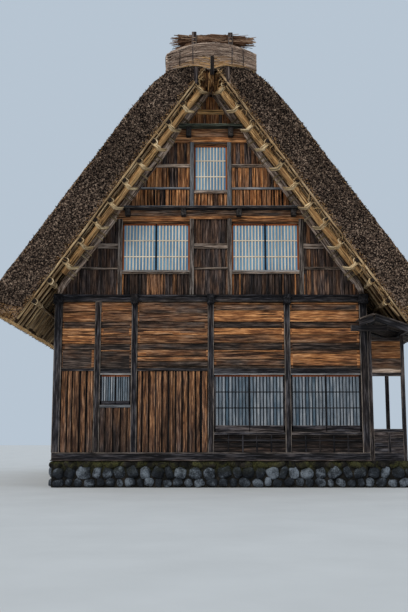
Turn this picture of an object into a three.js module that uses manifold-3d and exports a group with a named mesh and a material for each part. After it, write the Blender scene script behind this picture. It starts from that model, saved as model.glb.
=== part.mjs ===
// A steep thatched farmhouse, seen with its gable wall to the front.
// X runs across the gable, Y along the ridge (front at -Y), Z up. Millimetres.
// Z = 0 is the foot of the stone plinth, and X = Y = 0 the middle of the house.

import * as THREE from 'three';
import { mergeGeometries, mergeVertices } from 'three/addons/utils/BufferGeometryUtils.js';
import Module from 'manifold-3d';

const wasm = await Module();
wasm.setup();

// Driving dimensions

const GAP = 0.3;                    // clearance between pieces that touch
const JOINT = 20;                   // how far joined timbers run into each other

const BAY = 2500;                   // post spacing
const HALF_WIDTH = 2 * BAY;         // centre line to corner posts, across
const HALF_LENGTH = 3 * BAY;        // centre line to corner posts, along
const SPLIT_POST_X = -3700;         // extra post in the left outer bay
const CORNER_POST = 260;
const POST = 200;

const PLINTH_TOP = 830;
const PLINTH_LIP = 200;             // plinth face beyond the post centres
const SILL_TOP = 1100;
const SILL_WIDTH = 240;
const FLOOR_TOP = 1150;
const FLOOR_BOARD = 40;
const FLOOR_JOIST = 120;
const JOIST_SPACING = 1250;

const WALL = 100;                   // boarded wall, boards and studs together
const WINDOW_SILL = 1750;
const SMALL_WINDOW_SILL = 2620;
const LINTEL_FOOT = 3590;
const LINTEL_TOP = 3800;
const LINTEL_DEPTH = 150;
const GIRT_FOOT = 6000;
const GIRT_DEPTH = 220;
const BEAM_FOOT = 5900;
const BEAM_TOP = 6220;
const BEAM_NOSE = 320;              // long beams beyond the post centres

const LEDGE_BEAM_FOOT = 8800;
const LEDGE_TOP = 9160;
const LEDGE_BOARD = 80;
const LEDGE_REACH = 450;            // ledge boards beyond the post centres
const HIGH_LEDGE_FOOT = 11560;
const HIGH_LEDGE_TOP = 12160;
const LEDGE_NOSES = [-2760, -900, 940, 2760];
const LEDGE_NOSE = 180;

const GABLE_WINDOW = { inner: 700, outer: 2940, foot: 7010, head: 8720 };
const TOP_WINDOW = { half: 560, foot: 9760, head: 11450 };
const GABLE_POST = 140;
const GABLE_POST_DEPTH = 90;
const FRAME = 60;                   // window frames
const PANE = 12;

const ROOF_SLOPE = Math.SQRT2;      // rise over run
const RAFTER_APEX = 13200;          // where the inner faces of a rafter pair meet
const RAFTER_DEPTH = 260;           // square to the slope
const RAFTER_WIDTH = 240;
const RAFTER_LAP_X = 170;           // half-lap where a pair crosses, either side of the middle
const RAFTER_HORN_X = 108;          // each rafter's head passes the middle by this much
const PURLIN_RADIUS = 55;
const PURLIN_STEP = 465.5;          // across the house
const PURLIN_COUNT = 12;
const POLE_RADIUS = 35;
const VERGE_POLE_Y = 8700;
const POLE_HEAD_X = 160;
const ROOF_BITE = 6;                // how far lashed poles sink into each other
const POLE_FOOT_X = 5900;
const ROOF_HALF_LENGTH = 8800;
const PURLIN_HALF_LENGTH = 8760;

const THATCH_LIP_X = 6200;          // lowest line of the thatch
const THATCH_LIP_ANGLE = 0.44;      // rise of the trimmed eave face, radians
const THATCH_LIP_RUN = 820;
const THATCH_APEX = 15900;          // where the outer thatch planes would meet
const THATCH_CORNER = 190;          // rounding of the eave corner
const SHOULDER_X = 2960;            // the thatch bends inward from here up
const SHOULDER_BEND_X = 1950;
const RIDGE_SLOT_X = 115;

const CAP_HALF_WIDTH = 1490;
const CAP_SIDE_FOOT = 13410;
const CAP_SIDE_TOP = 14030;
const CAP_CROWN = 14450;
const CAP_UNDER_RISE = 580;
const CAP_HALF_LENGTH = 8850;
const RIDGE_POLE_RADIUS = 100;
const BUNDLE = {
  half: 1430, top: 14730, outer: 8690, inner: 8300, droop: 80,
};
const STAKE = { radius: 55, y: 8725, top: 14890, xs: [-550, 650] };

const ANNEX = {
  left: 5195, right: 6250, back: -5100, post: 120,
  roofRidgeX: HALF_WIDTH + 145, roofRidgeZ: 5500, roofSlope: 0.33, roofThick: 100,
  roofLeft: 4690, roofRight: 6900, roofFront: -8700, roofBack: -4600,
  leftSlopeBack: -HALF_LENGTH - BEAM_NOSE, fasciaInset: 150, fasciaDepth: 190,
  boardFoot: 3660, boardTop: 4700, railTop: 1850, rail: 110, beamDepth: 140,
  noseLeft: 4450, noseRight: 5600, noseDepth: 190, noseInset: 100,
  plinthX: 6500, plinthBack: -4800,
};

// The roof layers, as distances square to the slope from the inner rafter face

const slopeLength = Math.hypot(1, ROOF_SLOPE);
const outward = new THREE.Vector2(ROOF_SLOPE / slopeLength, 1 / slopeLength);
const PURLIN_LAYER = RAFTER_DEPTH - ROOF_BITE + PURLIN_RADIUS;
const POLE_LAYER = PURLIN_LAYER + PURLIN_RADIUS - ROOF_BITE + POLE_RADIUS;
const THATCH_LAYER = POLE_LAYER + POLE_RADIUS + GAP;

// Height of a roof layer at a distance from the middle of the house
const layerZ = (layer, x) => RAFTER_APEX + layer * slopeLength - ROOF_SLOPE * x;
// Distance from the middle at which the inner rafter face reaches a height
const rafterX = (z) => (RAFTER_APEX - z) / ROOF_SLOPE;
const thatchTopZ = (x) => THATCH_APEX - ROOF_SLOPE * x;
const archZ = (x, foot, rise) => foot + rise * (1 - (x / CAP_HALF_WIDTH) ** 2);

// Materials

const material = (color, roughness, metalness = 0) =>
  new THREE.MeshStandardMaterial({ color, roughness, metalness });

const materials = {
  stone: material(0x77797a, 0.9),
  postWood: material(0x3f3a37, 0.85),
  plankWood: material(0x8a5a34, 0.8),
  boardWood: material(0x4a3830, 0.85),
  greyWood: material(0x6b6864, 0.85),
  floorWood: material(0x7b6248, 0.7),
  window: material(0x8fa6b5, 0.3),
  pole: material(0xb59a68, 0.7),
  thatch: material(0x5e5040, 0.95),
  ridge: material(0x7a6750, 0.95),
  reed: material(0x6f4a32, 0.95),
  roofBoard: material(0x8f8f8a, 0.8),
};

// Shape helpers

const box = (x0, x1, y0, y1, z0, z1) =>
  new THREE.BoxGeometry(x1 - x0, y1 - y0, z1 - z0)
    .translate((x0 + x1) / 2, (y0 + y1) / 2, (z0 + z1) / 2);

const shapeOf = (points) => new THREE.Shape(points.map(([a, b]) => new THREE.Vector2(a, b)));

// An outline in X and Z, carried along Y from y0 to y1
const prismAlongY = (points, y0, y1) =>
  new THREE.ExtrudeGeometry(shapeOf(points), { depth: y1 - y0, bevelEnabled: false })
    .rotateX(Math.PI / 2)
    .translate(0, y1, 0);

// A round pole from one point to another, with a line of vertices towards "face"
const poleBetween = (from, to, radius, sides, face) => {
  const along = new THREE.Vector3().subVectors(to, from);
  const direction = along.clone().normalize();
  const side = new THREE.Vector3().crossVectors(direction, face).normalize();
  const basis = new THREE.Matrix4().makeBasis(side, direction, face);
  basis.setPosition(from.clone().addScaledVector(along, 0.5));
  return new THREE.CylinderGeometry(radius, radius, along.length(), sides).applyMatrix4(basis);
};

const mirrorX = (points) => points.map(([x, z]) => [-x, z]).reverse();

// Solids that meet, joined into one
const solidOf = (geometry) => {
  const plain = geometry.clone();
  plain.deleteAttribute('normal');
  plain.deleteAttribute('uv');
  const merged = mergeVertices(plain);
  return new wasm.Manifold(new wasm.Mesh({
    numProp: 3,
    vertProperties: Float32Array.from(merged.attributes.position.array),
    triVerts: Uint32Array.from(merged.index.array),
  }));
};

const geometryOf = (solid) => {
  const mesh = solid.getMesh();
  const geometry = new THREE.BufferGeometry();
  geometry.setAttribute('position', new THREE.BufferAttribute(mesh.vertProperties, 3));
  geometry.setIndex(new THREE.BufferAttribute(mesh.triVerts, 1));
  const flat = geometry.toNonIndexed();
  flat.computeVertexNormals();
  const uv = new Float32Array(flat.attributes.position.count * 2);
  flat.setAttribute('uv', new THREE.BufferAttribute(uv, 2));
  return flat;
};

const joined = (geometries) =>
  geometryOf(geometries.map(solidOf).reduce((whole, part) => whole.add(part)));

const cutBy = (geometry, cutters) =>
  geometryOf(cutters.map(solidOf).reduce((left, part) => left.subtract(part), solidOf(geometry)));

const house = new THREE.Group();
const add = (name, geometry, surface, parent = house) => {
  const mesh = new THREE.Mesh(geometry, surface);
  mesh.name = name;
  parent.add(mesh);
  return mesh;
};

// A framed window in a wall that faces the front, with one pane behind each opening
const windowUnit = (x0, x1, z0, z1, y, panels) => {
  const panelWidth = (x1 - x0) / panels;
  const openings = Array.from({ length: panels }, (_, i) => box(
    x0 + i * panelWidth + (i ? FRAME / 2 : FRAME),
    x0 + (i + 1) * panelWidth - (i < panels - 1 ? FRAME / 2 : FRAME),
    y - FRAME, y + FRAME, z0 + FRAME, z1 - FRAME,
  ));
  const frame = cutBy(box(x0, x1, y - FRAME / 2, y + FRAME / 2, z0, z1), openings);
  const pane = box(
    x0 + FRAME / 2, x1 - FRAME / 2, y - PANE / 2, y + PANE / 2, z0 + FRAME / 2, z1 - FRAME / 2,
  );
  return joined([frame, pane]);
};

// Plinth and ground floor

const deckX = HALF_WIDTH - CORNER_POST / 2 - GAP;
const deckY = HALF_LENGTH - CORNER_POST / 2 - GAP;

function buildBase() {
  const x = HALF_WIDTH + PLINTH_LIP;
  const y = HALF_LENGTH + PLINTH_LIP;
  const plan = shapeOf([
    [-x, -y], [ANNEX.plinthX, -y], [ANNEX.plinthX, ANNEX.plinthBack],
    [x, ANNEX.plinthBack], [x, y], [-x, y],
  ]);
  add('stone_plinth', new THREE.ExtrudeGeometry(plan, { depth: PLINTH_TOP, bevelEnabled: false }),
    materials.stone);

  const joistCount = Math.floor((2 * deckY - FLOOR_JOIST) / JOIST_SPACING) + 1;
  const firstJoist = -JOIST_SPACING * (joistCount - 1) / 2;
  const joists = Array.from({ length: joistCount }, (_, i) => {
    const joistY = firstJoist + i * JOIST_SPACING;
    return box(-deckX, deckX, joistY - FLOOR_JOIST / 2, joistY + FLOOR_JOIST / 2,
      PLINTH_TOP + GAP, FLOOR_TOP - FLOOR_BOARD / 2);
  });
  const boards = box(-deckX, deckX, -deckY, deckY, FLOOR_TOP - FLOOR_BOARD, FLOOR_TOP);
  add('floor_deck', joined([boards, ...joists]), materials.floorWood);
}

// The timber frame of a gable end: sill, posts and girt, with the ends of the long beams

const endPostXs = [-HALF_WIDTH, SPLIT_POST_X, -BAY, 0, BAY, HALF_WIDTH];
const sidePostYs = [-2, -1, 0, 1, 2].map((i) => i * BAY);
const postWidth = (x) => (Math.abs(x) === HALF_WIDTH ? CORNER_POST : POST);
const beamXs = endPostXs.filter((x) => x !== SPLIT_POST_X);

function endFrame() {
  const sillReach = HALF_WIDTH + SILL_WIDTH / 2;
  const sill = box(-sillReach, sillReach, -HALF_LENGTH - SILL_WIDTH / 2,
    -HALF_LENGTH + SILL_WIDTH / 2, PLINTH_TOP + GAP, SILL_TOP);
  const girt = box(-HALF_WIDTH, HALF_WIDTH, -HALF_LENGTH - GIRT_DEPTH / 2,
    -HALF_LENGTH + GIRT_DEPTH / 2, GIRT_FOOT, BEAM_TOP);
  const posts = endPostXs.map((x) => {
    const half = postWidth(x) / 2;
    return box(x - half, x + half, -HALF_LENGTH - half, -HALF_LENGTH + half,
      SILL_TOP - JOINT, GIRT_FOOT + JOINT);
  });
  const noses = beamXs.map((x) => box(x - postWidth(x) / 2, x + postWidth(x) / 2,
    -HALF_LENGTH - BEAM_NOSE, -HALF_LENGTH, BEAM_FOOT, BEAM_TOP));
  return [sill, girt, ...posts, ...noses];
}

// Boarding and windows of the front, bay by bay from the left

const BOARDED_BAYS = [0, 2];
const SMALL_WINDOW_BAY = 1;
const LATTICE_BAYS = [3, 4];

// The clear width between two neighbouring end posts
const bayX = (bay) => [
  endPostXs[bay] + postWidth(endPostXs[bay]) / 2 + GAP,
  endPostXs[bay + 1] - postWidth(endPostXs[bay + 1]) / 2 - GAP,
];

const wallSlab = ([x0, x1], z0, z1, thickness = WALL) => box(
  x0, x1, -HALF_LENGTH - thickness / 2, -HALF_LENGTH + thickness / 2, z0, z1,
);

const lintel = (span) => wallSlab(span, LINTEL_FOOT, LINTEL_TOP, LINTEL_DEPTH);

function buildFront() {
  add('front_frame', joined(endFrame()), materials.postWood);
  for (const bay of BOARDED_BAYS) {
    const span = bayX(bay);
    add(`front_bay_${bay + 1}_boards`, joined([
      wallSlab(span, SILL_TOP + GAP, GIRT_FOOT - GAP), lintel(span),
    ]), materials.boardWood);
  }
  for (const bay of [SMALL_WINDOW_BAY, ...LATTICE_BAYS]) {
    const span = bayX(bay);
    const windowFoot = bay === SMALL_WINDOW_BAY ? SMALL_WINDOW_SILL : WINDOW_SILL;
    add(`front_bay_${bay + 1}_planks`, joined([
      wallSlab(span, LINTEL_FOOT + JOINT, GIRT_FOOT - GAP), lintel(span),
    ]), materials.plankWood);
    add(`front_bay_${bay + 1}_window`,
      windowUnit(...span, windowFoot, LINTEL_FOOT - GAP, -HALF_LENGTH, 2), materials.window);
    add(`front_bay_${bay + 1}_low_boards`, wallSlab(span, SILL_TOP + GAP, windowFoot - GAP),
      materials.boardWood);
  }
}

// The back repeats the frame, as one wall with its boarding and two lattice windows

function buildBack(backEnd) {
  const spans = LATTICE_BAYS.map(bayX);
  const full = [-HALF_WIDTH, HALF_WIDTH];
  const holes = spans.map((span) => wallSlab(span, WINDOW_SILL, LINTEL_FOOT, SILL_WIDTH));
  add('back_wall', cutBy(
    joined([...endFrame(), wallSlab(full, SILL_TOP - JOINT, GIRT_FOOT + JOINT), lintel(full)]), holes,
  ), materials.boardWood, backEnd);
  spans.forEach(([x0, x1], i) => add(`back_window_${i + 1}`, windowUnit(
    x0 + GAP, x1 - GAP, WINDOW_SILL + GAP, LINTEL_FOOT - GAP, -HALF_LENGTH, 2,
  ), materials.window, backEnd));
}

// Side walls: posts, sill, lintel and boarding, with a lattice window in a middle bay

const SIDE_WINDOW_BAY = 2;

function sideWall() {
  const sideBox = (depth, y0, y1, z0, z1) =>
    box(-HALF_WIDTH - depth / 2, -HALF_WIDTH + depth / 2, y0, y1, z0, z1);
  const sillEnd = HALF_LENGTH - SILL_WIDTH / 2 - GAP;
  const wallEnd = HALF_LENGTH - CORNER_POST / 2 - GAP;
  const [y0, y1] = sideWindowY;
  return cutBy(joined([
    sideBox(SILL_WIDTH, -wallEnd, wallEnd, PLINTH_TOP + GAP, SILL_TOP),
    sideBox(WALL, -wallEnd, wallEnd, SILL_TOP - JOINT, BEAM_FOOT - GAP),
    sideBox(LINTEL_DEPTH, -wallEnd, wallEnd, LINTEL_FOOT, LINTEL_TOP),
    ...sidePostYs.map((y) => sideBox(POST, y - POST / 2, y + POST / 2,
      SILL_TOP - JOINT, BEAM_FOOT - GAP)),
  ]), [sideBox(SILL_WIDTH, y0, y1, WINDOW_SILL, LINTEL_FOOT)]);
}

const sideWindowY = [
  -HALF_LENGTH + SIDE_WINDOW_BAY * BAY + POST / 2,
  -HALF_LENGTH + (SIDE_WINDOW_BAY + 1) * BAY - POST / 2,
];

// The window is made facing the front, about the middle of its bay, then turned to face left
function sideWindow() {
  const [y0, y1] = sideWindowY;
  const half = (y1 - y0) / 2 - GAP;
  return windowUnit(-half, half, WINDOW_SILL + GAP, LINTEL_FOOT - GAP, 0, 2)
    .rotateZ(-Math.PI / 2)
    .translate(-HALF_WIDTH, (y0 + y1) / 2, 0);
}

function buildSides(backEnd) {
  add('left_wall', sideWall(), materials.boardWood);
  add('right_wall', sideWall(), materials.boardWood, backEnd);
  add('left_window', sideWindow(), materials.window);
  add('right_window', sideWindow(), materials.window, backEnd);
}

// Gable walls above the girts, between the rafters

const gableOutline = (z0, z1) => {
  const edge = (z) => rafterX(z) - 2 * GAP;
  return [[-edge(z0), z0], [edge(z0), z0], [edge(z1), z1], [-edge(z1), z1]];
};

const gableWindowPlaces = [
  [-GABLE_WINDOW.outer, -GABLE_WINDOW.inner, GABLE_WINDOW.foot, GABLE_WINDOW.head],
  [GABLE_WINDOW.inner, GABLE_WINDOW.outer, GABLE_WINDOW.foot, GABLE_WINDOW.head],
];
const topWindowPlace = [-TOP_WINDOW.half, TOP_WINDOW.half, TOP_WINDOW.foot, TOP_WINDOW.head];

const WALL_FRONT = -HALF_LENGTH - WALL / 2;
const WALL_BACK = -HALF_LENGTH + WALL / 2;
const TOP_BOARDS_HEAD = RAFTER_APEX - 60;

// An upright post on the face of the gable wall
const gablePost = (x, z0, z1) => box(x - GABLE_POST / 2, x + GABLE_POST / 2,
  WALL_FRONT - GABLE_POST_DEPTH, WALL_FRONT + JOINT, z0, z1);

// The boarded wall between two heights, with holes for its windows and a post beside each
function gableWall(z0, z1, windowPlaces) {
  const boards = prismAlongY(gableOutline(z0, z1), WALL_FRONT, WALL_BACK);
  const posts = windowPlaces.flatMap(([x0, x1]) => [
    gablePost(x0 - GABLE_POST / 2, z0, z1), gablePost(x1 + GABLE_POST / 2, z0, z1),
  ]);
  const holes = windowPlaces.map(([x0, x1, foot, head]) =>
    box(x0, x1, WALL_FRONT - WALL, WALL_BACK + WALL, foot, head));
  return cutBy(joined([boards, ...posts]), holes);
}

// A beam across the gable under a projecting ledge board, with beam ends below the board
function ledge(foot, top, noseXs) {
  const halfWidth = rafterX(top) - 2 * GAP;
  const under = top - LEDGE_BOARD;
  const front = -HALF_LENGTH - LEDGE_REACH;
  const beamFront = -HALF_LENGTH - GIRT_DEPTH / 2 - WALL / 2;
  return joined([
    prismAlongY(gableOutline(foot, top), beamFront, -HALF_LENGTH + GIRT_DEPTH / 2),
    box(-halfWidth, halfWidth, front, beamFront + JOINT, under, top),
    ...noseXs.map((x) => box(x - LEDGE_NOSE / 2, x + LEDGE_NOSE / 2,
      front + LEDGE_BOARD, beamFront + JOINT, foot + GIRT_DEPTH / 4, under + LEDGE_BOARD / 2)),
  ]);
}

const highLedgeNoses = [-TOP_WINDOW.half, TOP_WINDOW.half];

function addGableWindows(end, parent) {
  const windowIn = ([x0, x1, z0, z1], panels) =>
    windowUnit(x0 + GAP, x1 - GAP, z0 + GAP, z1 - GAP, -HALF_LENGTH, panels);
  const [left, right] = gableWindowPlaces;
  add(`${end}_gable_left_window`, windowIn(left, 2), materials.window, parent);
  add(`${end}_gable_right_window`, windowIn(right, 2), materials.window, parent);
  add(`${end}_gable_top_window`, windowIn(topWindowPlace, 1), materials.window, parent);
}

function buildGables(backEnd) {
  add('front_gable_lower_wall', gableWall(BEAM_TOP + GAP, LEDGE_BEAM_FOOT - GAP, gableWindowPlaces),
    materials.boardWood);
  add('front_ledge', ledge(LEDGE_BEAM_FOOT, LEDGE_TOP, LEDGE_NOSES), materials.postWood);
  add('front_gable_upper_wall', gableWall(LEDGE_TOP + GAP, HIGH_LEDGE_FOOT - GAP, [topWindowPlace]),
    materials.boardWood);
  add('front_high_ledge', ledge(HIGH_LEDGE_FOOT, HIGH_LEDGE_TOP, highLedgeNoses), materials.postWood);
  add('front_gable_top_boards', gableWall(HIGH_LEDGE_TOP + GAP, TOP_BOARDS_HEAD, []),
    materials.boardWood);
  addGableWindows('front', house);

  add('back_gable_wall', joined([
    gableWall(BEAM_TOP + GAP, LEDGE_BEAM_FOOT + JOINT, gableWindowPlaces),
    ledge(LEDGE_BEAM_FOOT, LEDGE_TOP, LEDGE_NOSES),
    gableWall(LEDGE_TOP - JOINT, HIGH_LEDGE_FOOT + JOINT, [topWindowPlace]),
    ledge(HIGH_LEDGE_FOOT, HIGH_LEDGE_TOP, highLedgeNoses),
    gableWall(HIGH_LEDGE_TOP - JOINT, TOP_BOARDS_HEAD, []),
  ]), materials.boardWood, backEnd);
  addGableWindows('back', backEnd);
}

// Attic floors, each with the beams that carry it

const COLLAR_DEPTH = 200;
const ATTIC_FLOOR_EDGE = 10;

function buildAttics() {
  const y = HALF_LENGTH - GIRT_DEPTH / 2 - GAP;
  const halfLow = rafterX(BEAM_TOP + FLOOR_BOARD) - ATTIC_FLOOR_EDGE;
  add('attic_floor', joined([
    box(-halfLow, halfLow, -y, y, BEAM_TOP - JOINT, BEAM_TOP + FLOOR_BOARD),
    ...beamXs.map((x) => box(x - postWidth(x) / 2, x + postWidth(x) / 2,
      -deckY, deckY, BEAM_FOOT, BEAM_TOP)),
  ]), materials.floorWood);

  const upperZ = LEDGE_TOP - FLOOR_BOARD;
  const halfHigh = rafterX(LEDGE_TOP) - ATTIC_FLOOR_EDGE;
  add('upper_attic_floor', joined([
    box(-halfHigh, halfHigh, -y, y, upperZ, LEDGE_TOP),
    ...sidePostYs.map((beamY) => prismAlongY(gableOutline(upperZ - COLLAR_DEPTH, upperZ + JOINT),
      beamY - POST / 2, beamY + POST / 2)),
  ]), materials.floorWood);
}

// Roof frame: a rafter pair over each line of posts, purlins across them, poles down the slope

const END_RAFTER_Y = HALF_LENGTH + 50;

// side is +1 for the right slope and -1 for the left one
const onSlope = (points, side) => (side > 0 ? points : mirrorX(points));

// The head is half as wide and crosses its partner's, so that the pair ends in a fork
function rafter(side, y, depth) {
  const foot = BEAM_TOP + GAP;
  const outerFootX = (layerZ(depth, 0) - foot) / ROOF_SLOPE;
  const half = RAFTER_WIDTH / 2;
  const band = (x0, x1) => [
    [x0, layerZ(0, x0)], [x1, layerZ(0, x1)], [x1, layerZ(depth, x1)], [x0, layerZ(depth, x0)],
  ];
  const shaft = [
    [RAFTER_LAP_X, layerZ(0, RAFTER_LAP_X)], [rafterX(foot), foot],
    [outerFootX, foot], [RAFTER_LAP_X, layerZ(depth, RAFTER_LAP_X)],
  ];
  const [headFront, headBack] = side > 0 ? [y + GAP, y + half] : [y - half, y];
  return joined([
    prismAlongY(onSlope(shaft, side), y - half, y + half),
    prismAlongY(onSlope(band(-RAFTER_HORN_X, RAFTER_LAP_X + JOINT), side), headFront, headBack),
  ]);
}

// Poles from end to end of a layer, at a distance from the middle of the house
function purlin(side, x) {
  const face = new THREE.Vector3(side * outward.x, 0, outward.y);
  const end = (y) => new THREE.Vector3(side * x, y, layerZ(PURLIN_LAYER, x));
  return poleBetween(end(-PURLIN_HALF_LENGTH), end(PURLIN_HALF_LENGTH), PURLIN_RADIUS, 6, face);
}

function rafterPole(side, y) {
  const face = new THREE.Vector3(side * outward.x, 0, outward.y);
  const at = (x) => new THREE.Vector3(side * x, y, layerZ(POLE_LAYER, x));
  return poleBetween(at(POLE_HEAD_X), at(POLE_FOOT_X), POLE_RADIUS, 4, face);
}

function roofLattice(side) {
  const polePitch = BAY / 2;
  const innerPoles = Array.from({ length: 13 }, (_, i) => -HALF_LENGTH + i * polePitch);
  const poleYs = [-VERGE_POLE_Y, ...innerPoles, VERGE_POLE_Y];
  return joined([
    ...sidePostYs.map((y) => rafter(side, y, RAFTER_DEPTH)),
    ...Array.from({ length: PURLIN_COUNT }, (_, i) => purlin(side, (i + 1) * PURLIN_STEP)),
    ...poleYs.map((y) => rafterPole(side, y)),
  ]);
}

// Thatch and ridge

const CAP_STEPS = 8;
const capXs = Array.from({ length: CAP_STEPS + 1 }, (_, i) =>
  CAP_HALF_WIDTH + (RIDGE_SLOT_X - CAP_HALF_WIDTH) * (i / CAP_STEPS));

function thatchOutline() {
  const lipZ = layerZ(THATCH_LAYER, THATCH_LIP_X);
  const lipEndX = THATCH_LIP_X + THATCH_LIP_RUN * Math.cos(THATCH_LIP_ANGLE);
  const lipEndZ = lipZ + THATCH_LIP_RUN * Math.sin(THATCH_LIP_ANGLE);
  const cornerX = (THATCH_APEX - lipEndZ) / ROOF_SLOPE;
  const cornerTopX = cornerX - THATCH_CORNER;
  const corner = new THREE.QuadraticBezierCurve(
    new THREE.Vector2(lipEndX, lipEndZ),
    new THREE.Vector2(cornerX, lipEndZ + (cornerX - lipEndX) * Math.tan(THATCH_LIP_ANGLE) / 2),
    new THREE.Vector2(cornerTopX, thatchTopZ(cornerTopX)),
  );
  const shoulder = new THREE.QuadraticBezierCurve(
    new THREE.Vector2(SHOULDER_X, thatchTopZ(SHOULDER_X)),
    new THREE.Vector2(SHOULDER_BEND_X, thatchTopZ(SHOULDER_BEND_X)),
    new THREE.Vector2(CAP_HALF_WIDTH, CAP_SIDE_FOOT),
  );
  return [
    [RIDGE_SLOT_X, layerZ(THATCH_LAYER, RIDGE_SLOT_X)],
    [THATCH_LIP_X, lipZ],
    ...corner.getPoints(5).map((p) => [p.x, p.y]),
    ...shoulder.getPoints(6).map((p) => [p.x, p.y]),
    ...capXs.slice(1).map((x) => [x, archZ(x, CAP_SIDE_FOOT, CAP_UNDER_RISE)]),
  ];
}

const thatch = (side) =>
  prismAlongY(onSlope(thatchOutline(), side), -ROOF_HALF_LENGTH, ROOF_HALF_LENGTH);

const capTopZ = (x) => archZ(x, CAP_SIDE_TOP, CAP_CROWN - CAP_SIDE_TOP);

function ridgeCap() {
  const under = capXs.map((x) => [x, archZ(x, CAP_SIDE_FOOT, CAP_UNDER_RISE) + GAP]);
  const top = capXs.map((x) => [x, capTopZ(x)]);
  const outline = [
    ...under.map(([x, z]) => [-x, z]),
    ...under.slice().reverse(),
    ...top,
    ...top.slice().reverse().map(([x, z]) => [-x, z]),
  ];
  return prismAlongY(outline, -CAP_HALF_LENGTH, CAP_HALF_LENGTH);
}

// The pole lies in the forks of the rafter pairs, with a line of its surface near each rafter
function ridgePole() {
  const z = layerZ(RAFTER_DEPTH, 0) + (RIDGE_POLE_RADIUS + GAP) * slopeLength;
  const end = (y) => new THREE.Vector3(0, y, z);
  const face = new THREE.Vector3(outward.x, 0, outward.y);
  return poleBetween(end(-PURLIN_HALF_LENGTH), end(PURLIN_HALF_LENGTH), RIDGE_POLE_RADIUS, 12, face);
}

// A bundle of reeds across the ridge, pinned by two stakes at its outer side
function ridgeBundle() {
  const { half, top, outer, inner, droop } = BUNDLE;
  const foot = capTopZ(RIDGE_SLOT_X) + GAP;
  const bundle = prismAlongY([
    [-half, foot], [half, foot], [half, top - droop],
    [half / 2, top], [-half / 2, top], [-half, top - droop],
  ], -outer, -inner);
  const stakes = STAKE.xs.map((x) => {
    const stakeFoot = capTopZ(Math.abs(x) - STAKE.radius) + JOINT;
    return poleBetween(
      new THREE.Vector3(x, -STAKE.y, stakeFoot), new THREE.Vector3(x, -STAKE.y, STAKE.top),
      STAKE.radius, 8, new THREE.Vector3(1, 0, 0),
    );
  });
  return joined([bundle, ...stakes]);
}

function buildRoof(backEnd) {
  const endDepth = RAFTER_DEPTH - ROOF_BITE - GAP;
  for (const [name, side] of [['left', -1], ['right', 1]]) {
    add(`front_${name}_rafter`, rafter(side, -END_RAFTER_Y, endDepth), materials.greyWood);
    add(`back_${name}_rafter`, rafter(side, END_RAFTER_Y, endDepth), materials.greyWood);
    add(`${name}_roof_lattice`, roofLattice(side), materials.pole);
    add(`${name}_thatch`, thatch(side), materials.thatch);
  }
  add('ridge_pole', ridgePole(), materials.greyWood);
  add('ridge_cap', ridgeCap(), materials.ridge);
  add('front_ridge_bundle', ridgeBundle(), materials.reed);
  add('back_ridge_bundle', ridgeBundle(), materials.reed, backEnd);
}

// The narrow lean-to bay beside the front right corner, under the main eave

function buildAnnex() {
  const a = ANNEX;
  const half = a.post / 2;
  const front = -HALF_LENGTH;
  const roofUnder = (x) => a.roofRidgeZ - a.roofThick - a.roofSlope * Math.abs(x - a.roofRidgeX);
  const beamTop = (x) => roofUnder(x + half) - GAP;
  const beamFront = a.roofFront + a.fasciaInset;

  const posts = [a.left, a.right].flatMap((x) => [front, a.back].map((y) => box(
    x - half, x + half, y - half, y + half, PLINTH_TOP + GAP, beamTop(x) - a.beamDepth + JOINT,
  )));
  const beams = [a.left, a.right].map((x) => box(
    x - half, x + half, beamFront, a.back + half, beamTop(x) - a.beamDepth, beamTop(x),
  ));
  const noseTop = beamTop(a.left) - a.beamDepth;
  const nose = box(a.noseLeft, a.noseRight, beamFront + a.noseInset,
    beamFront + a.noseInset + a.beamDepth, noseTop - a.noseDepth, noseTop + JOINT);
  const rail = (y, z0, z1) => box(a.left, a.right, y - half, y + half, z0, z1);
  const rails = [
    rail(front, a.boardTop, a.boardTop + a.rail),
    rail(front, a.boardFoot - a.rail, a.boardFoot),
    rail(front, a.railTop - a.rail, a.railTop),
    rail(front, PLINTH_TOP + GAP, SILL_TOP),
    rail(a.back, a.boardTop, a.boardTop + a.rail),
  ];
  add('annex_frame', joined([...posts, ...beams, nose, ...rails]), materials.greyWood);

  const span = [a.left + half + GAP, a.right - half - GAP];
  add('annex_upper_boards', wallSlab(span, a.boardFoot + GAP, a.boardTop - GAP), materials.plankWood);
  add('annex_low_boards', wallSlab(span, SILL_TOP + GAP, a.railTop - a.rail - GAP),
    materials.greyWood);

  // Each roof slope is an outline across the house, and stops short of the main wall
  const slope = (x0, x1, y0, y1) => prismAlongY([
    [x0, roofUnder(x0)], [x1, roofUnder(x1)],
    [x1, roofUnder(x1) + a.roofThick], [x0, roofUnder(x0) + a.roofThick],
  ], y0, y1);
  const fasciaFoot = (x) => roofUnder(x) - a.fasciaDepth;
  const fascia = prismAlongY([
    [a.roofLeft, fasciaFoot(a.roofLeft)], [a.roofRidgeX, fasciaFoot(a.roofRidgeX)],
    [a.roofRight, fasciaFoot(a.roofRight)], [a.roofRight, roofUnder(a.roofRight) + JOINT],
    [a.roofRidgeX, roofUnder(a.roofRidgeX) + JOINT], [a.roofLeft, roofUnder(a.roofLeft) + JOINT],
  ], a.roofFront + a.roofThick / 2, beamFront - GAP);
  add('annex_roof', joined([
    slope(a.roofLeft, a.roofRidgeX + JOINT, a.roofFront, a.leftSlopeBack),
    slope(a.roofRidgeX, a.roofRight, a.roofFront, a.roofBack),
    fascia,
  ]), materials.roofBoard);
}

const backEnd = new THREE.Group();
backEnd.rotation.z = Math.PI;
house.add(backEnd);

buildBase();
buildFront();
buildBack(backEnd);
buildSides(backEnd);
buildGables(backEnd);
buildAttics();
buildRoof(backEnd);
buildAnnex();

export default house;
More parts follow.
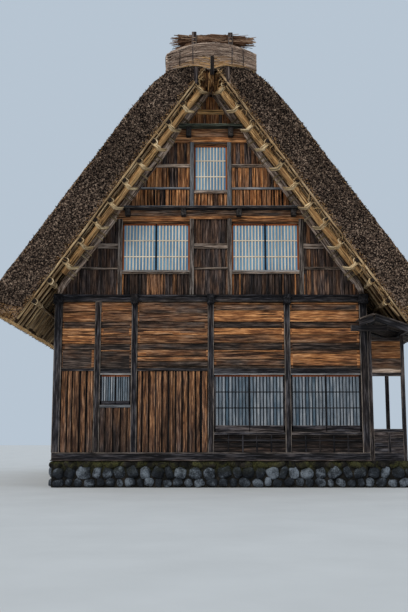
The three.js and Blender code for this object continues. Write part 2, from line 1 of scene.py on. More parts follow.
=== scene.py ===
# %% [markdown]
# # Dressing a thatched farmhouse
# The house comes from the CAD tool as plain solids: posts, walls, windows, roof poles and thatch. This lesson
# gives each of them the look of the real thing. The CAD pieces never move. A piece either gets a finish, or a
# finer piece takes its place and says so. All lengths are in metres, Z points up and the gable faces -Y.

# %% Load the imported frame
import math
import random

import bmesh
import bpy
from mathutils import Matrix, Vector, noise


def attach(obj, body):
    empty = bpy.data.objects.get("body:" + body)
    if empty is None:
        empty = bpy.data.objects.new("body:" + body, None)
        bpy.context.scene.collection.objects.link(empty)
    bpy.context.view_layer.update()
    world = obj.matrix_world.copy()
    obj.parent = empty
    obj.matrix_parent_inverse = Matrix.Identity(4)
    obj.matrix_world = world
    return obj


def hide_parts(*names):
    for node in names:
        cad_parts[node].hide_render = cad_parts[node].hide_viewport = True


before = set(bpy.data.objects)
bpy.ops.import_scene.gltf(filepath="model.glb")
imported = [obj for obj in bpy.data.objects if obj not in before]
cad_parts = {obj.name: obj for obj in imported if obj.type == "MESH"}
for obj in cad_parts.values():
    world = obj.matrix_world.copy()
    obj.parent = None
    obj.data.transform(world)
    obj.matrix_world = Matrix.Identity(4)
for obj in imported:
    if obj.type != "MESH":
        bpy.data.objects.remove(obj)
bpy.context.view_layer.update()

dice = random.Random(11)
vary = dice.uniform      # a random number between two
noise.seed_set(11)       # otherwise each run bends the poles in another way

# %% [markdown]
# ## Camera, floor and light
# The camera stands where the photographer stood: 27 m from the gable, at eye height, tilted up nine degrees.
# A sensor of 36 mm on the long side and a lens of 49.4 mm give that view. The light is a pale, faintly blue
# sky all round with one wide, soft sun. A soft light shows the grain of wood and reed without hard shadows.

# %% Camera
camera = bpy.data.objects.new("gable_camera", bpy.data.cameras.new("gable_camera"))
bpy.context.scene.collection.objects.link(camera)
bpy.context.scene.camera = camera
camera.data.sensor_width = 36.0
camera.data.lens = 49.41
camera.data.clip_end = 400.0
camera.location = (-0.223, -34.9, 1.56)
camera.rotation_euler = (math.radians(90 + 8.93), 0, 0)
print("camera at", tuple(camera.location))

# %% [markdown]
# A node tree is easier to read when each node takes one line. The helper `put` adds a node, sets its options,
# and either links a socket or writes a value into each input it is given.

# %% A helper for nodes
def put(tree, kind, inputs=None, **settings):
    made = tree.nodes.new("ShaderNode" + kind)
    for key, value in settings.items():
        setattr(made, key, value)
    for key, value in (inputs or {}).items():
        if isinstance(value, bpy.types.NodeSocket):
            tree.links.new(value, made.inputs[key])
        else:
            made.inputs[key].default_value = value
    return made


def new_finish(name, roughness, gloss=0.2):
    finish = bpy.data.materials.new(name)
    finish.use_nodes = True
    shader = finish.node_tree.nodes["Principled BSDF"]
    shader.inputs["Roughness"].default_value = roughness
    shader.inputs["Specular IOR Level"].default_value = gloss
    return finish, finish.node_tree, shader


def ramp(tree, factor, *stops):
    """Colours along a factor, each stop a place and a red, green, blue."""
    made = put(tree, "ValToRGB", {"Fac": factor})
    band = made.color_ramp
    while len(band.elements) < len(stops):
        band.elements.new(1.0)
    for element, (place, colour) in zip(band.elements, stops):
        element.position = place
        element.color = (*colour, 1.0)
    return made.outputs["Color"]


def speckle(tree, vector, scale, detail=3.0, roughness=0.55, warp=0.0):
    return put(tree, "TexNoise", {"Vector": vector, "Scale": scale, "Detail": detail, "Roughness": roughness,
                                  "Distortion": warp}).outputs["Fac"]


def blend(tree, factor, first, second):
    """A mix of two colours, each of them a socket or a red, green and blue."""
    first, second = ((*colour, 1.0) if isinstance(colour, tuple) else colour for colour in (first, second))
    return put(tree, "Mix", {0: factor, 6: first, 7: second}, data_type="RGBA").outputs[2]


def sums(tree, operation, first, second=0.0, clamp=False):
    return put(tree, "Math", {0: first, 1: second}, operation=operation, use_clamp=clamp).outputs[0]


def shares(tree, first, share, second):
    """Two values added: the first by its share, the second by what is left of one."""
    return sums(tree, "ADD", sums(tree, "MULTIPLY", first, share), sums(tree, "MULTIPLY", second, 1 - share))


def band_of(tree, value, low, high, to_low=0.0, to_high=1.0):
    return put(tree, "MapRange", {"Value": value, "From Min": low, "From Max": high,
                                  "To Min": to_low, "To Max": to_high}).outputs["Result"]


def place_on(tree):
    return put(tree, "TexCoord").outputs["Object"]


def look_of(tree):
    """The three values that each point stores under `look`."""
    stored = put(tree, "Attribute", attribute_name="look").outputs["Vector"]
    return put(tree, "SeparateXYZ", {0: stored}).outputs


def stretched(tree, vector, *scale):
    return put(tree, "Mapping", {"Vector": vector, "Scale": scale}).outputs["Vector"]


def paint(tree, shader, colour):
    tree.links.new(colour, shader.inputs["Base Color"])


def relief(tree, shader, height, depth, strength=0.8):
    bump = put(tree, "Bump", {"Height": height, "Distance": depth, "Strength": strength})
    tree.links.new(bump.outputs["Normal"], shader.inputs["Normal"])


print("node helpers ready")

# %% Floor and light
floor_finish, tree, shader = new_finish("pale_floor", 0.9)
floor_noise = speckle(tree, place_on(tree), 0.6)
paint(tree, shader, ramp(tree, floor_noise, (0.3, (0.62, 0.62, 0.61)), (0.7, (0.67, 0.67, 0.66))))
floor_bm = bmesh.new()
bmesh.ops.create_grid(floor_bm, x_segments=1, y_segments=1, size=150.0,
                      matrix=Matrix.Translation((0, 0, -0.003)))
floor = bpy.data.objects.new("studio_floor", bpy.data.meshes.new("studio_floor"))
floor_bm.to_mesh(floor.data)
floor_bm.free()
floor.data.materials.append(floor_finish)
bpy.context.scene.collection.objects.link(floor)

world = bpy.data.worlds.new("studio_sky")
bpy.context.scene.world = world
world.use_nodes = True
sky = world.node_tree.nodes["Background"]
sky.inputs["Color"].default_value = (0.70, 0.82, 0.95, 1.0)
sky.inputs["Strength"].default_value = 0.68

sun = bpy.data.objects.new("soft_sun", bpy.data.lights.new("soft_sun", "SUN"))
sun.data.energy = 1.45
sun.data.angle = math.radians(25)
sun.data.color = (1.0, 0.95, 0.88)
sun.rotation_euler = (math.radians(52), 0, math.radians(-24))
bpy.context.scene.collection.objects.link(sun)
bpy.context.scene.view_settings.view_transform = "Standard"
print("floor and light ready")

# %% [markdown]
# ## How the parts carry their grain
# Every board, pole and reed stores two vectors on its points. `grain` is the place on the piece itself, first
# along the fibre, so the figure of the wood follows each board whichever way it is nailed. `look` holds its age,
# its brightness and how worn its edges are. One finish can then serve a hundred boards that all differ, as on
# the real wall, where each board has its own history.

# %% Wood finish
def wood_finish(name, young, old, pale=(0.30, 0.27, 0.24), streak=7.0, knots=0.07, depth=0.01, crack=0.22):
    """Wood between young and old tones, pale where it is worn, with knots and dark cracks along the grain."""
    finish, tree, shader = new_finish(name, 0.82)
    grain = put(tree, "Attribute", attribute_name="grain").outputs["Vector"]
    age, shade, worn = look_of(tree)
    along = stretched(tree, grain, 0.06, 1.0, 1.0)
    fine = speckle(tree, along, 42.0, 4.0, 0.65)
    figure = shares(tree, speckle(tree, along, streak, 4.0, 0.6, 0.35), 0.45, fine)
    figure = band_of(tree, figure, 0.36, 0.64)
    cracks = speckle(tree, stretched(tree, grain, 0.05, 1.0, 1.0), 17.0, 3.0, 0.5, 0.3)
    cracks = band_of(tree, cracks, 0.57, 0.64)
    patch = speckle(tree, stretched(tree, grain, 0.35, 1.0, 1.0), 2.6, 4.0, 0.6)
    age = sums(tree, "ADD", age, band_of(tree, patch, 0.3, 0.7, -0.38, 0.38), True)
    colour = blend(tree, age, ramp(tree, figure, *young), ramp(tree, figure, *old))
    spots = put(tree, "TexVoronoi", {"Vector": stretched(tree, grain, 0.45, 1.0, 1.0), "Scale": 2.3})
    spots = band_of(tree, spots.outputs["Distance"], knots, knots * 0.4)
    colour = blend(tree, spots, colour, (0.035, 0.018, 0.01))
    colour = blend(tree, sums(tree, "MULTIPLY", worn, band_of(tree, fine, 0.35, 0.6)), colour, pale)
    light = sums(tree, "MULTIPLY", band_of(tree, shade, 0.0, 1.0, 0.25, 1.75),
                 band_of(tree, cracks, 0.0, 1.0, 1.0, crack))
    paint(tree, shader, put(tree, "VectorMath", {0: colour, "Scale": light}, operation="SCALE").outputs[0])
    relief(tree, shader, sums(tree, "SUBTRACT", figure, cracks), depth)
    return finish


weathered = wood_finish(
    "weathered_timber",
    [(0.20, (0.012, 0.008, 0.006)), (0.5, (0.060, 0.040, 0.030)), (0.85, (0.17, 0.12, 0.09))],
    [(0.25, (0.003, 0.003, 0.005)), (0.5, (0.0125, 0.0115, 0.0145)), (0.85, (0.095, 0.088, 0.096))],
    pale=(0.46, 0.37, 0.30), streak=11.0)
cedar = wood_finish(
    "cedar_planks",
    [(0.12, (0.045, 0.016, 0.007)), (0.4, (0.17, 0.062, 0.021)), (0.62, (0.31, 0.126, 0.042)),
     (0.9, (0.58, 0.28, 0.115))],
    [(0.15, (0.006, 0.005, 0.005)), (0.5, (0.046, 0.032, 0.026)), (0.88, (0.20, 0.145, 0.115))],
    pale=(0.50, 0.31, 0.17), streak=17.0, knots=0.085)
boards = wood_finish(
    "old_boards",
    [(0.12, (0.014, 0.006, 0.004)), (0.42, (0.095, 0.039, 0.017)), (0.65, (0.20, 0.088, 0.036)),
     (0.9, (0.42, 0.21, 0.095))],
    [(0.15, (0.004, 0.0035, 0.004)), (0.5, (0.029, 0.0205, 0.019)), (0.88, (0.145, 0.105, 0.090))],
    pale=(0.40, 0.27, 0.17), streak=19.0)
silver = wood_finish(
    "silver_logs",
    [(0.2, (0.04, 0.024, 0.016)), (0.5, (0.25, 0.165, 0.112)), (0.8, (0.60, 0.44, 0.33))],
    [(0.2, (0.018, 0.013, 0.011)), (0.5, (0.15, 0.115, 0.097)), (0.8, (0.46, 0.385, 0.34))],
    pale=(0.46, 0.39, 0.31), streak=10.0, knots=0.05, depth=0.02)
grey_board = wood_finish(
    "grey_drip_boards",
    [(0.15, (0.10, 0.075, 0.055)), (0.5, (0.25, 0.205, 0.165)), (0.85, (0.46, 0.41, 0.36))],
    [(0.15, (0.06, 0.062, 0.068)), (0.5, (0.16, 0.165, 0.18)), (0.85, (0.33, 0.34, 0.36))],
    pale=(0.46, 0.42, 0.37), knots=0.0, crack=0.5)
bamboo = wood_finish(
    "bare_poles",
    [(0.12, (0.11, 0.060, 0.028)), (0.5, (0.32, 0.205, 0.10)), (0.88, (0.60, 0.44, 0.25))],
    [(0.12, (0.018, 0.012, 0.008)), (0.5, (0.088, 0.056, 0.036)), (0.88, (0.25, 0.18, 0.12))],
    pale=(0.6, 0.5, 0.34), streak=12.0, knots=0.03)
cream = wood_finish(
    "cream_bars",
    [(0.15, (0.60, 0.48, 0.34)), (0.5, (0.72, 0.60, 0.45)), (0.85, (0.82, 0.71, 0.56))],
    [(0.15, (0.42, 0.36, 0.29)), (0.5, (0.58, 0.51, 0.42)), (0.85, (0.70, 0.63, 0.54))],
    pale=(0.8, 0.7, 0.55), knots=0.0, crack=0.9)
slate_bars = wood_finish(
    "blue_grey_bars",
    [(0.15, (0.14, 0.155, 0.175)), (0.5, (0.235, 0.25, 0.27)), (0.85, (0.42, 0.42, 0.42))],
    [(0.15, (0.04, 0.062, 0.085)), (0.5, (0.085, 0.125, 0.16)), (0.85, (0.16, 0.205, 0.245))],
    pale=(0.45, 0.5, 0.55), knots=0.0, crack=0.75)
frame_red = wood_finish(
    "sash_wood",
    [(0.15, (0.20, 0.040, 0.008)), (0.5, (0.40, 0.085, 0.014)), (0.85, (0.55, 0.15, 0.035))],
    [(0.15, (0.06, 0.016, 0.006)), (0.5, (0.15, 0.045, 0.016)), (0.85, (0.26, 0.10, 0.045))],
    pale=(0.5, 0.3, 0.16), knots=0.0, crack=0.6)
print("wood finishes ready")

# %% [markdown]
# Straw needs a different recipe. A cut reed end is one fleck, and a wall of them is thousands of flecks from
# nearly black to tan. The finish takes random cells for the flecks and a slow noise for the damp and dry areas.
# A single reed modelled in the mesh carries its own tone in `look`, and its third value says that it is a reed.

# %% Straw finish
def straw_finish(name, tones, cell, stretch=(1, 1, 1), turn=0.0, depth=0.03):
    finish, tree, shader = new_finish(name, 0.95)
    place = place_on(tree)
    own_tone, _, is_reed = look_of(tree)
    turned = put(tree, "Mapping", {"Vector": place, "Rotation": (0, turn, 0)}).outputs["Vector"]
    laid = stretched(tree, turned, *stretch)
    cells = put(tree, "TexVoronoi", {"Vector": laid, "Scale": cell}).outputs["Color"]
    cells = put(tree, "SeparateXYZ", {0: cells}).outputs[0]
    flecks = speckle(tree, laid, cell * 0.8, 4.0, 0.7)
    areas = band_of(tree, speckle(tree, place, 1.6, 3.0, 0.6), 0.3, 0.7, -0.02, 0.08)
    tone = band_of(tree, shares(tree, cells, 0.42, flecks), 0.28, 0.72)
    tone = blend(tree, is_reed, sums(tree, "ADD", tone, areas, True), own_tone)
    paint(tree, shader, ramp(tree, tone, *tones))
    relief(tree, shader, sums(tree, "ADD", cells, flecks), depth)
    return finish


def tinted(tones, red, green, blue, sooner=1.0):
    """The same tones in another colour; with `sooner` below one, the light ones come earlier."""
    return [(place * sooner, (r * red, g * green, b * blue)) for place, (r, g, b) in tones]


ROOT2 = math.sqrt(2)          # the roof falls by this much for each metre to the side
SLOPE = math.atan(ROOT2)
SIDES = ((-1, "left"), (1, "right"))
ENDS = ((-1, "front"), (1, "back"))
dark_straw = [(0.16, (0.004, 0.003, 0.0028)), (0.36, (0.026, 0.016, 0.012)), (0.54, (0.076, 0.048, 0.035)),
              (0.74, (0.205, 0.135, 0.096)), (1.0, (0.46, 0.33, 0.235))]
golden_straw = [(0.15, (0.06, 0.025, 0.009)), (0.4, (0.24, 0.115, 0.040)), (0.62, (0.46, 0.250, 0.095)),
                (0.9, (0.80, 0.53, 0.26))]
ridge_straw = [(0.12, (0.02, 0.013, 0.010)), (0.34, (0.17, 0.110, 0.080)), (0.56, (0.40, 0.285, 0.215)),
               (0.82, (0.74, 0.58, 0.46))]
mat_straw = [(0.15, (0.035, 0.016, 0.007)), (0.4, (0.15, 0.075, 0.028)), (0.6, (0.29, 0.160, 0.062)),
             (0.85, (0.52, 0.33, 0.15))]
cut_ends = straw_finish("cut_reed_ends", dark_straw, 27.0)
slope_thatch = {side: straw_finish(f"slope_thatch_{name}", dark_straw, 34.0, (0.22, 1, 1), side * SLOPE)
                for side, name in SIDES}
eave_straw = straw_finish("golden_eave_straw", golden_straw, 36.0, (0.3, 0.3, 1))
# The lip is the golden straw painted lighter still: partly its own gold, partly painted light as if from below.
lit_lip_straw = straw_finish("eave_straw_painted_light", tinted(golden_straw, 1.25, 1.35, 1.5, 0.8), 36.0, (0.3, 0.3, 1))
long_straw = straw_finish("long_ridge_straw", ridge_straw, 30.0, (0.12, 1, 1), depth=0.02)
loose_reeds = straw_finish("loose_reeds", mat_straw, 40.0, (0.25, 1, 1), depth=0.01)
# The mat under the thatch is the mat straw at about a fifth of its brightness: painted shade under the overhang,
# between the roof poles.
shaded_reed_mat = straw_finish("shaded_reed_mat", tinted(mat_straw, 0.20, 0.16, 0.15), 40.0, (0.25, 1, 1), depth=0.01)
print("straw finishes ready")

# %% [markdown]
# ## Tools for building
# Each bmesh operator walks the whole mesh that it works on, so thousands of reeds in one mesh would take
# minutes. A pile solves that: shapes are made in a small lot, and every full lot is emptied onto the whole.
# Handing over turns the pile into an object at the origin that rides on the house.

# %% Piles and pieces
class Pile:
    def __init__(self):
        self.whole, self.lot, self.made = self.sheet(), self.sheet(), 0

    @staticmethod
    def sheet():
        bm = bmesh.new()
        bm.verts.layers.float_vector.new("grain")
        bm.verts.layers.float_vector.new("look")
        return bm

    def shape(self):
        """The mesh for the next shape."""
        if len(self.lot.verts) > 900:
            self.empty_lot()
        self.made += 1
        return self.lot

    def empty_lot(self):
        mesh = bpy.data.meshes.new("lot")
        self.lot.to_mesh(mesh)
        self.whole.from_mesh(mesh)
        bpy.data.meshes.remove(mesh)
        self.lot.free()
        self.lot = self.sheet()


def hand_over(name, pile, finishes, stands_for=(), smooth=False, angle=0.0):
    """Makes one object of a pile, turned about the upright axis by `angle`."""
    pile.empty_lot()
    bm = pile.whole
    if angle:
        bmesh.ops.rotate(bm, verts=bm.verts, cent=(0, 0, 0), matrix=Matrix.Rotation(angle, 3, "Z"))
    mesh = bpy.data.meshes.new(name)
    for face in bm.faces:
        face.smooth = smooth
    bm.to_mesh(mesh)
    bm.free()
    for finish in finishes if isinstance(finishes, list) else [finishes]:
        mesh.materials.append(finish)
    piece = bpy.data.objects.new(name, mesh)
    bpy.context.scene.collection.objects.link(piece)
    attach(piece, "root")
    if stands_for:
        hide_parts(*([stands_for] if isinstance(stands_for, str) else stands_for))
    triangles = sum(len(p.vertices) - 2 for p in mesh.polygons)
    print(f"{name}: {pile.made} shapes, {triangles} triangles")


def grain_and_look(bm):
    return bm.verts.layers.float_vector["grain"], bm.verts.layers.float_vector["look"]


def own_grain():
    """A place in the wood that no other piece shares."""
    return Vector([vary(0, 50) for _ in range(3)])


def give_finish(verts, number):
    for face in {f for v in verts for f in v.link_faces}:
        face.material_index = number


print("piles ready")

# %% [markdown]
# A board is a cube drawn to its size, with its edges taken off by a bevel, because no sawn edge of an old house
# is sharp. The widest bevels have a middle line, which is marked as worn.

# %% Boards
X, Y, Z = Vector((1, 0, 0)), Vector((0, 1, 0)), Vector((0, 0, 1))
FIBRE = {"x": (X, Y, Z), "y": (Y, X, Z), "z": (Z, X, Y)}      # the first axis runs along the fibre


def board(pile, low, high, along, age, shade, arris=0.004, worn=0.0, finish=0, fade=(0.0, 0.0)):
    """A sawn board or post with its edges taken off. It may age or darken towards its low end."""
    bm = pile.shape()
    low, high = Vector(low), Vector(high)
    centre, size = (low + high) / 2, high - low
    verts = bmesh.ops.create_cube(bm, size=1.0)["verts"]
    bmesh.ops.scale(bm, vec=size, verts=verts)
    bmesh.ops.translate(bm, vec=centre, verts=verts)
    if arris:
        edges = list({e for v in verts for e in v.link_edges})
        verts = bmesh.ops.bevel(bm, geom=edges, offset=min(arris, min(size) * 0.3), offset_type="OFFSET",
                                segments=2 if worn else 1, profile=0.5, affect="EDGES", material=-1,
                                clamp_overlap=True)["verts"]
    grain, look = grain_and_look(bm)
    shift = own_grain()
    lengthwise = "xyz".index(along)
    for v in verts:
        away = v.co - centre
        v[grain] = Vector([away.dot(axis) for axis in FIBRE[along]]) + shift
        share = 0.5 - (v.co[lengthwise] - centre[lengthwise]) / size[lengthwise]
        bevelled = all(abs(abs(v.co[i] - centre[i]) - size[i] / 2) > 1e-6 for i in range(3) if i != lengthwise)
        v[look] = (age + fade[0] * share, shade + fade[1] * share, worn if bevelled else 0.0)
    give_finish(verts, finish)
    return verts


print("boards ready")

# %% [markdown]
# A pole is a ring of points drawn out along a path, so it can bend and taper where a cylinder can't. It also
# serves for logs, rope and bent stalks. A straight reed is a cone of three sides, the cheapest shape there is.

# %% Poles, stalks and reeds
def turn_to(side, ahead):
    return Matrix((side, ahead.cross(side), ahead)).transposed().to_4x4()


def along_path(path):
    """A turn for each point of a path, carried along without a twist."""
    turns, side = [], None
    for i in range(len(path)):
        ahead = (path[min(i + 1, len(path) - 1)] - path[max(i - 1, 0)]).normalized()
        if side is None:
            side = ahead.orthogonal().normalized()
        side = (side - ahead * side.dot(ahead)).normalized()
        turns.append(turn_to(side, ahead))
    return turns


def pole(pile, path, radii, sides, age, shade, squareness=0.0, wander=0.0, face=None, finish=0, own=0.0):
    """A pole, log or rope: a ring of points drawn out along a path. It gives back both end faces."""
    bm = pile.shape()
    path = [Vector(p) for p in path]
    if wander:
        path = [p + noise.noise_vector(p * 1.3 + Vector((pile.made * 3.1, 0, 0))) * wander for p in path]
    if not isinstance(radii, list):
        radii = [radii] * len(path)
    turns = along_path(path)
    if face is not None:
        aheads = [turn.to_3x3() @ Z for turn in turns]
        turns = [turn_to((face - ahead * ahead.dot(face)).normalized(), ahead) for ahead in aheads]
    places = [Matrix.Translation(p) @ turn for p, turn in zip(path, turns)]
    ring = bmesh.ops.create_circle(bm, segments=sides, radius=radii[0], cap_ends=True,
                                   matrix=places[0] @ Matrix.Rotation(math.pi / sides, 4, "Z"))["verts"]
    if squareness:
        back = places[0].inverted()
        for v in ring:
            local = back @ v.co
            widest = max(0.7, max(abs(local.x), abs(local.y)) / local.length)
            v.co = places[0] @ (local * (1 + squareness * (1 / widest - 1)))
    everything = list(ring)
    edges = list({e for v in ring for e in v.link_edges})
    first_face = [f for v in ring for f in v.link_faces][:1]
    for before, after, thin in zip(places, places[1:], [b / a for a, b in zip(radii, radii[1:])]):
        drawn = bmesh.ops.extrude_edge_only(bm, edges=edges)["geom"]
        ring = [g for g in drawn if isinstance(g, bmesh.types.BMVert)]
        edges = [g for g in drawn if isinstance(g, bmesh.types.BMEdge)]
        bmesh.ops.transform(bm, verts=ring,
                            matrix=after @ Matrix.Diagonal((thin, thin, 1, 1)) @ before.inverted())
        everything += ring
    last_face = bmesh.ops.contextual_create(bm, geom=edges)["faces"]
    bmesh.ops.recalc_face_normals(bm, faces=list({f for v in everything for f in v.link_faces}))
    grain, look = grain_and_look(bm)
    shift = own_grain()
    travelled = 0.0
    for i, place in enumerate(places):
        if i:
            travelled += (path[i] - path[i - 1]).length
        back = place.inverted()
        for v in everything[i * sides:(i + 1) * sides]:
            local = back @ v.co
            v[grain] = Vector((travelled, local.x, local.y)) + shift
            v[look] = (age, shade, own)
    give_finish(everything, finish)
    return first_face + last_face


def straw(pile, path, thick, tone, sides=4, finish=0):
    """A bent stalk, whose tone the straw finishes take over."""
    pole(pile, path, thick, sides, tone, 0.5, own=1.0, finish=finish)


def reed(pile, foot, tip, thick, tone, finish=0, end=0.6):
    """One straight reed: a thin cone, cut off at its tip or, where `end` is nought, drawn to a point."""
    bm = pile.shape()
    foot, tip = Vector(foot), Vector(tip)
    ahead = tip - foot
    place = Matrix.Translation((foot + tip) / 2) @ ahead.to_track_quat("Z", "Y").to_matrix().to_4x4()
    verts = bmesh.ops.create_cone(bm, cap_ends=True, segments=3, radius1=thick, radius2=thick * end,
                                  depth=ahead.length, matrix=place)["verts"]
    _, look = grain_and_look(bm)
    for v in verts:
        v[look] = (tone, 0.5, 1.0)
    give_finish(verts, finish)


def clamp(value, low, high):
    return max(low, min(high, value))


print("building tools ready")

# %% [markdown]
# ## Thatch
# Each slope is a body of reed more than a metre thick. Its outer face is clipped, its verge shows the cut ends
# of the reeds, and the straw at the eave is younger and golden. One closed body per slope is made from grids that
# are bent onto the outline and welded, then roughened with noise. The reed ends that stand out of the verge are
# separate cones, because their speckle of light tips and dark gaps is what the eye reads as thatch.

# %% Outline of the thatch
APEX = 13.2                   # where the rafters of both sides meet
ROOT3 = math.sqrt(3)          # a layer's thickness times this is its height, measured upright
PURLIN_LAYER, POLE_LAYER, MAT_LAYER = 0.309, 0.393, 0.4283
CLIPPED_APEX = 15.9           # where the clipped faces of both slopes would meet
VERGE = 8.8                   # half the length of the thatch
EAVE_X, LIP, LIP_TILT = 6.2, 0.82, 0.44
BOW_HALF = 1.49               # half the width of the straw bow on the ridge


def layer_z(layer, x):
    return APEX + layer * ROOT3 - ROOT2 * x


def clipped_z(x):
    return CLIPPED_APEX - ROOT2 * x


def cap_under(x):
    return 13.41 + 0.58 * (1 - (x / BOW_HALF) ** 2)


def cap_top(x):
    return 14.03 + 0.42 * (1 - (x / BOW_HALF) ** 2)


def bow(a, b, c, steps):
    return [((1 - t) ** 2 * a[0] + 2 * t * (1 - t) * b[0] + t * t * c[0],
             (1 - t) ** 2 * a[1] + 2 * t * (1 - t) * b[1] + t * t * c[1])
            for t in (i / steps for i in range(steps + 1))]


def evenly(points):
    """A function that gives the point at a share of the line's length."""
    lengths = [0.0]
    for a, b in zip(points, points[1:]):
        lengths.append(lengths[-1] + math.dist(a, b))

    def at(share):
        target = share * lengths[-1]
        i = max(1, next((k for k, l in enumerate(lengths) if l >= target - 1e-9), len(lengths) - 1))
        part = (target - lengths[i - 1]) / (lengths[i] - lengths[i - 1])
        return tuple(p + (q - p) * part for p, q in zip(points[i - 1], points[i]))
    return at


def between(outer, inner):
    """A function that gives the point at a share along two lines and a share from the inner to the outer."""
    outer_at, inner_at = evenly(outer), evenly(inner)

    def at(u, t):
        (ax, az), (bx, bz) = inner_at(u), outer_at(u)
        return ax + (bx - ax) * t, az + (bz - az) * t
    return at


mat_end = (EAVE_X, layer_z(MAT_LAYER, EAVE_X))
lip = (EAVE_X + LIP * math.cos(LIP_TILT), mat_end[1] + LIP * math.sin(LIP_TILT))
corner_x = (CLIPPED_APEX - lip[1]) / ROOT2
outer_line = [(x, cap_under(x)) for x in (0.115, 0.4, 0.7, 1.0, 1.25, BOW_HALF)]
outer_line += bow(outer_line[-1], (1.95, clipped_z(1.95)), (2.96, clipped_z(2.96)), 6)[1:]
outer_line += bow((corner_x - 0.19, clipped_z(corner_x - 0.19)),
                  (corner_x, lip[1] + (corner_x - lip[0]) * math.tan(LIP_TILT) / 2), lip, 6)
inner_line = [(0.115, layer_z(MAT_LAYER, 0.115)), mat_end]
print("thatch outline", len(outer_line), "points, lip at", [round(c, 3) for c in lip])


# %% A soft slab between two lines
def slab(pile, outer, inner, half_length, across, through, along, kinds, bowed=False):
    """A closed body between two lines; kinds are the finishes of top, verge, lip and underside."""
    bm = pile.shape()
    spot = between(outer, inner)

    def at(u, t, w):
        x, z = spot(u, t)
        return Vector((x, half_length * (2 * w - 1), z))

    def sheet(nu, nv, place, kind):
        verts = bmesh.ops.create_grid(bm, x_segments=nu, y_segments=nv, size=0.5)["verts"]
        for v in verts:
            v.co = place(v.co.x + 0.5, v.co.y + 0.5)
        give_finish(verts, kind)

    top, verge, eave, under = kinds
    sheet(across, along, lambda u, w: at(u, 1, w), top)
    for end in (0, 1):
        sheet(across, through, lambda u, t, end=end: at(u, t, end), verge)
    sheet(through, along, lambda t, w: at(1, t, w), eave)
    sheet(through, along, lambda t, w: at(0, t, w), eave if bowed else under)
    if bowed:
        sheet(across, along, lambda u, w: at(u, 0, w), under)
    bmesh.ops.remove_doubles(bm, verts=bm.verts, dist=0.0008)
    rim = [e for e in bm.edges if e.is_boundary]
    for face in bmesh.ops.holes_fill(bm, edges=rim, sides=0)["faces"]:
        face.material_index = under
    bmesh.ops.recalc_face_normals(bm, faces=bm.faces)
    print("slab", len(bm.faces), "faces,", sum(e.is_boundary for e in bm.edges), "open edges")
    return bm


def roughen(bm, amounts, seed):
    """Pushes points along their normals by noise of several sizes."""
    bm.normal_update()
    shift = Vector((seed, seed * 1.7, 0))
    moves = [(v, v.normal * sum(a * noise.noise(v.co * s + shift) for s, a in amounts)) for v in bm.verts]
    for v, move in moves:
        v.co += move


# %% Both slopes
for side, name in SIDES:
    pile = Pile()
    bm = slab(pile, outer_line, inner_line, VERGE, 150, 12, 170, (0, 1, 2, 3))
    if side < 0:
        bmesh.ops.scale(bm, vec=(-1, 1, 1), verts=bm.verts)
        bmesh.ops.recalc_face_normals(bm, faces=bm.faces)
    roughen(bm, ((0.5, 0.02), (1.6, 0.014), (5.0, 0.022), (11.0, 0.02)), side * 31.0)
    hand_over(f"{name}_thatch_body", pile, [slope_thatch[side], cut_ends, lit_lip_straw, shaded_reed_mat],
              f"{name}_thatch", smooth=True)

# %% [markdown]
# The reed ends are strewn over the verge by chance, but thickly and evenly enough to hide the body. Each one
# leans a little down and to a side. Further spikes roughen the clipped slope and hang from the golden eave.

# %% Reed ends, slope spikes and eave fringe
PEGS = (-0.49, 0.57)          # stake ends that show under the straw bow, seen from the front
OUT = {side: Vector((side * ROOT2, 0, 1)).normalized() for side, _ in SIDES}
DOWN = {side: Vector((side, 0, -ROOT2)).normalized() for side, _ in SIDES}
on_verge, on_clipped = between(outer_line, inner_line), evenly(outer_line)


def straw_edge(x):
    """The lower edge of the straw that hangs from the ridge bow at the verge."""
    return 13.47 + 0.22 * (1 - (x / 1.45) ** 2) - 0.14 * math.exp(-(x / 0.3) ** 2)


def reed_ends(name, side, facing, rows, columns, thick):
    pile = Pile()
    for i in range(rows):
        for j in range(columns):
            u = min(1.0, (i + dice.random()) / rows)
            t = min(1.0, (j + dice.random()) / columns)
            x, z = on_verge(u, t)
            foot = Vector((side * x, facing * (VERGE - 0.05), z))
            if z > 13.0 and (z > straw_edge(x) or min(abs(foot.x + facing * p) for p in PEGS) < 0.09):
                continue
            out = Vector((side * dice.gauss(0.05, 0.2), facing, dice.gauss(-0.15, 0.22))).normalized()
            at_edge = dice.random() * 0.13 > t or u > 0.95 or (t > 0.93 and dice.random() < 0.35)
            if at_edge:
                # Edge reeds at the lip are lighter: painted light from below, as on the lip.
                tone = dice.betavariate(2.2, 1.5 if u > 0.95 else 2.0)
            else:
                tone = dice.betavariate(1.15, 1.4)
            reed(pile, foot, foot + out * vary(0.06, 0.125), thick * vary(0.6, 1.6), tone,
                 finish=int(at_edge))
    hand_over(name, pile, [cut_ends, eave_straw])


for side, name in SIDES:
    reed_ends(f"{name}_front_verge_reeds", side, -1, 300, 40, 0.0135)
    reed_ends(f"{name}_back_verge_reeds", side, 1, 150, 20, 0.019)


def slope_spikes(name, side, count):
    pile = Pile()
    for _ in range(count):
        x, z = on_clipped(0.145 + 0.845 * dice.random())
        foot = Vector((side * x, vary(-VERGE, VERGE), z)) - OUT[side] * 0.02
        lean = OUT[side] * vary(0.5, 1.1) + DOWN[side] * vary(0.2, 1.2) + Y * dice.gauss(0, 0.4)
        reed(pile, foot, foot + lean.normalized() * vary(0.06, 0.11), 0.018,
             dice.betavariate(1.6, 2.2), end=0.0)
    hand_over(name, pile, cut_ends)


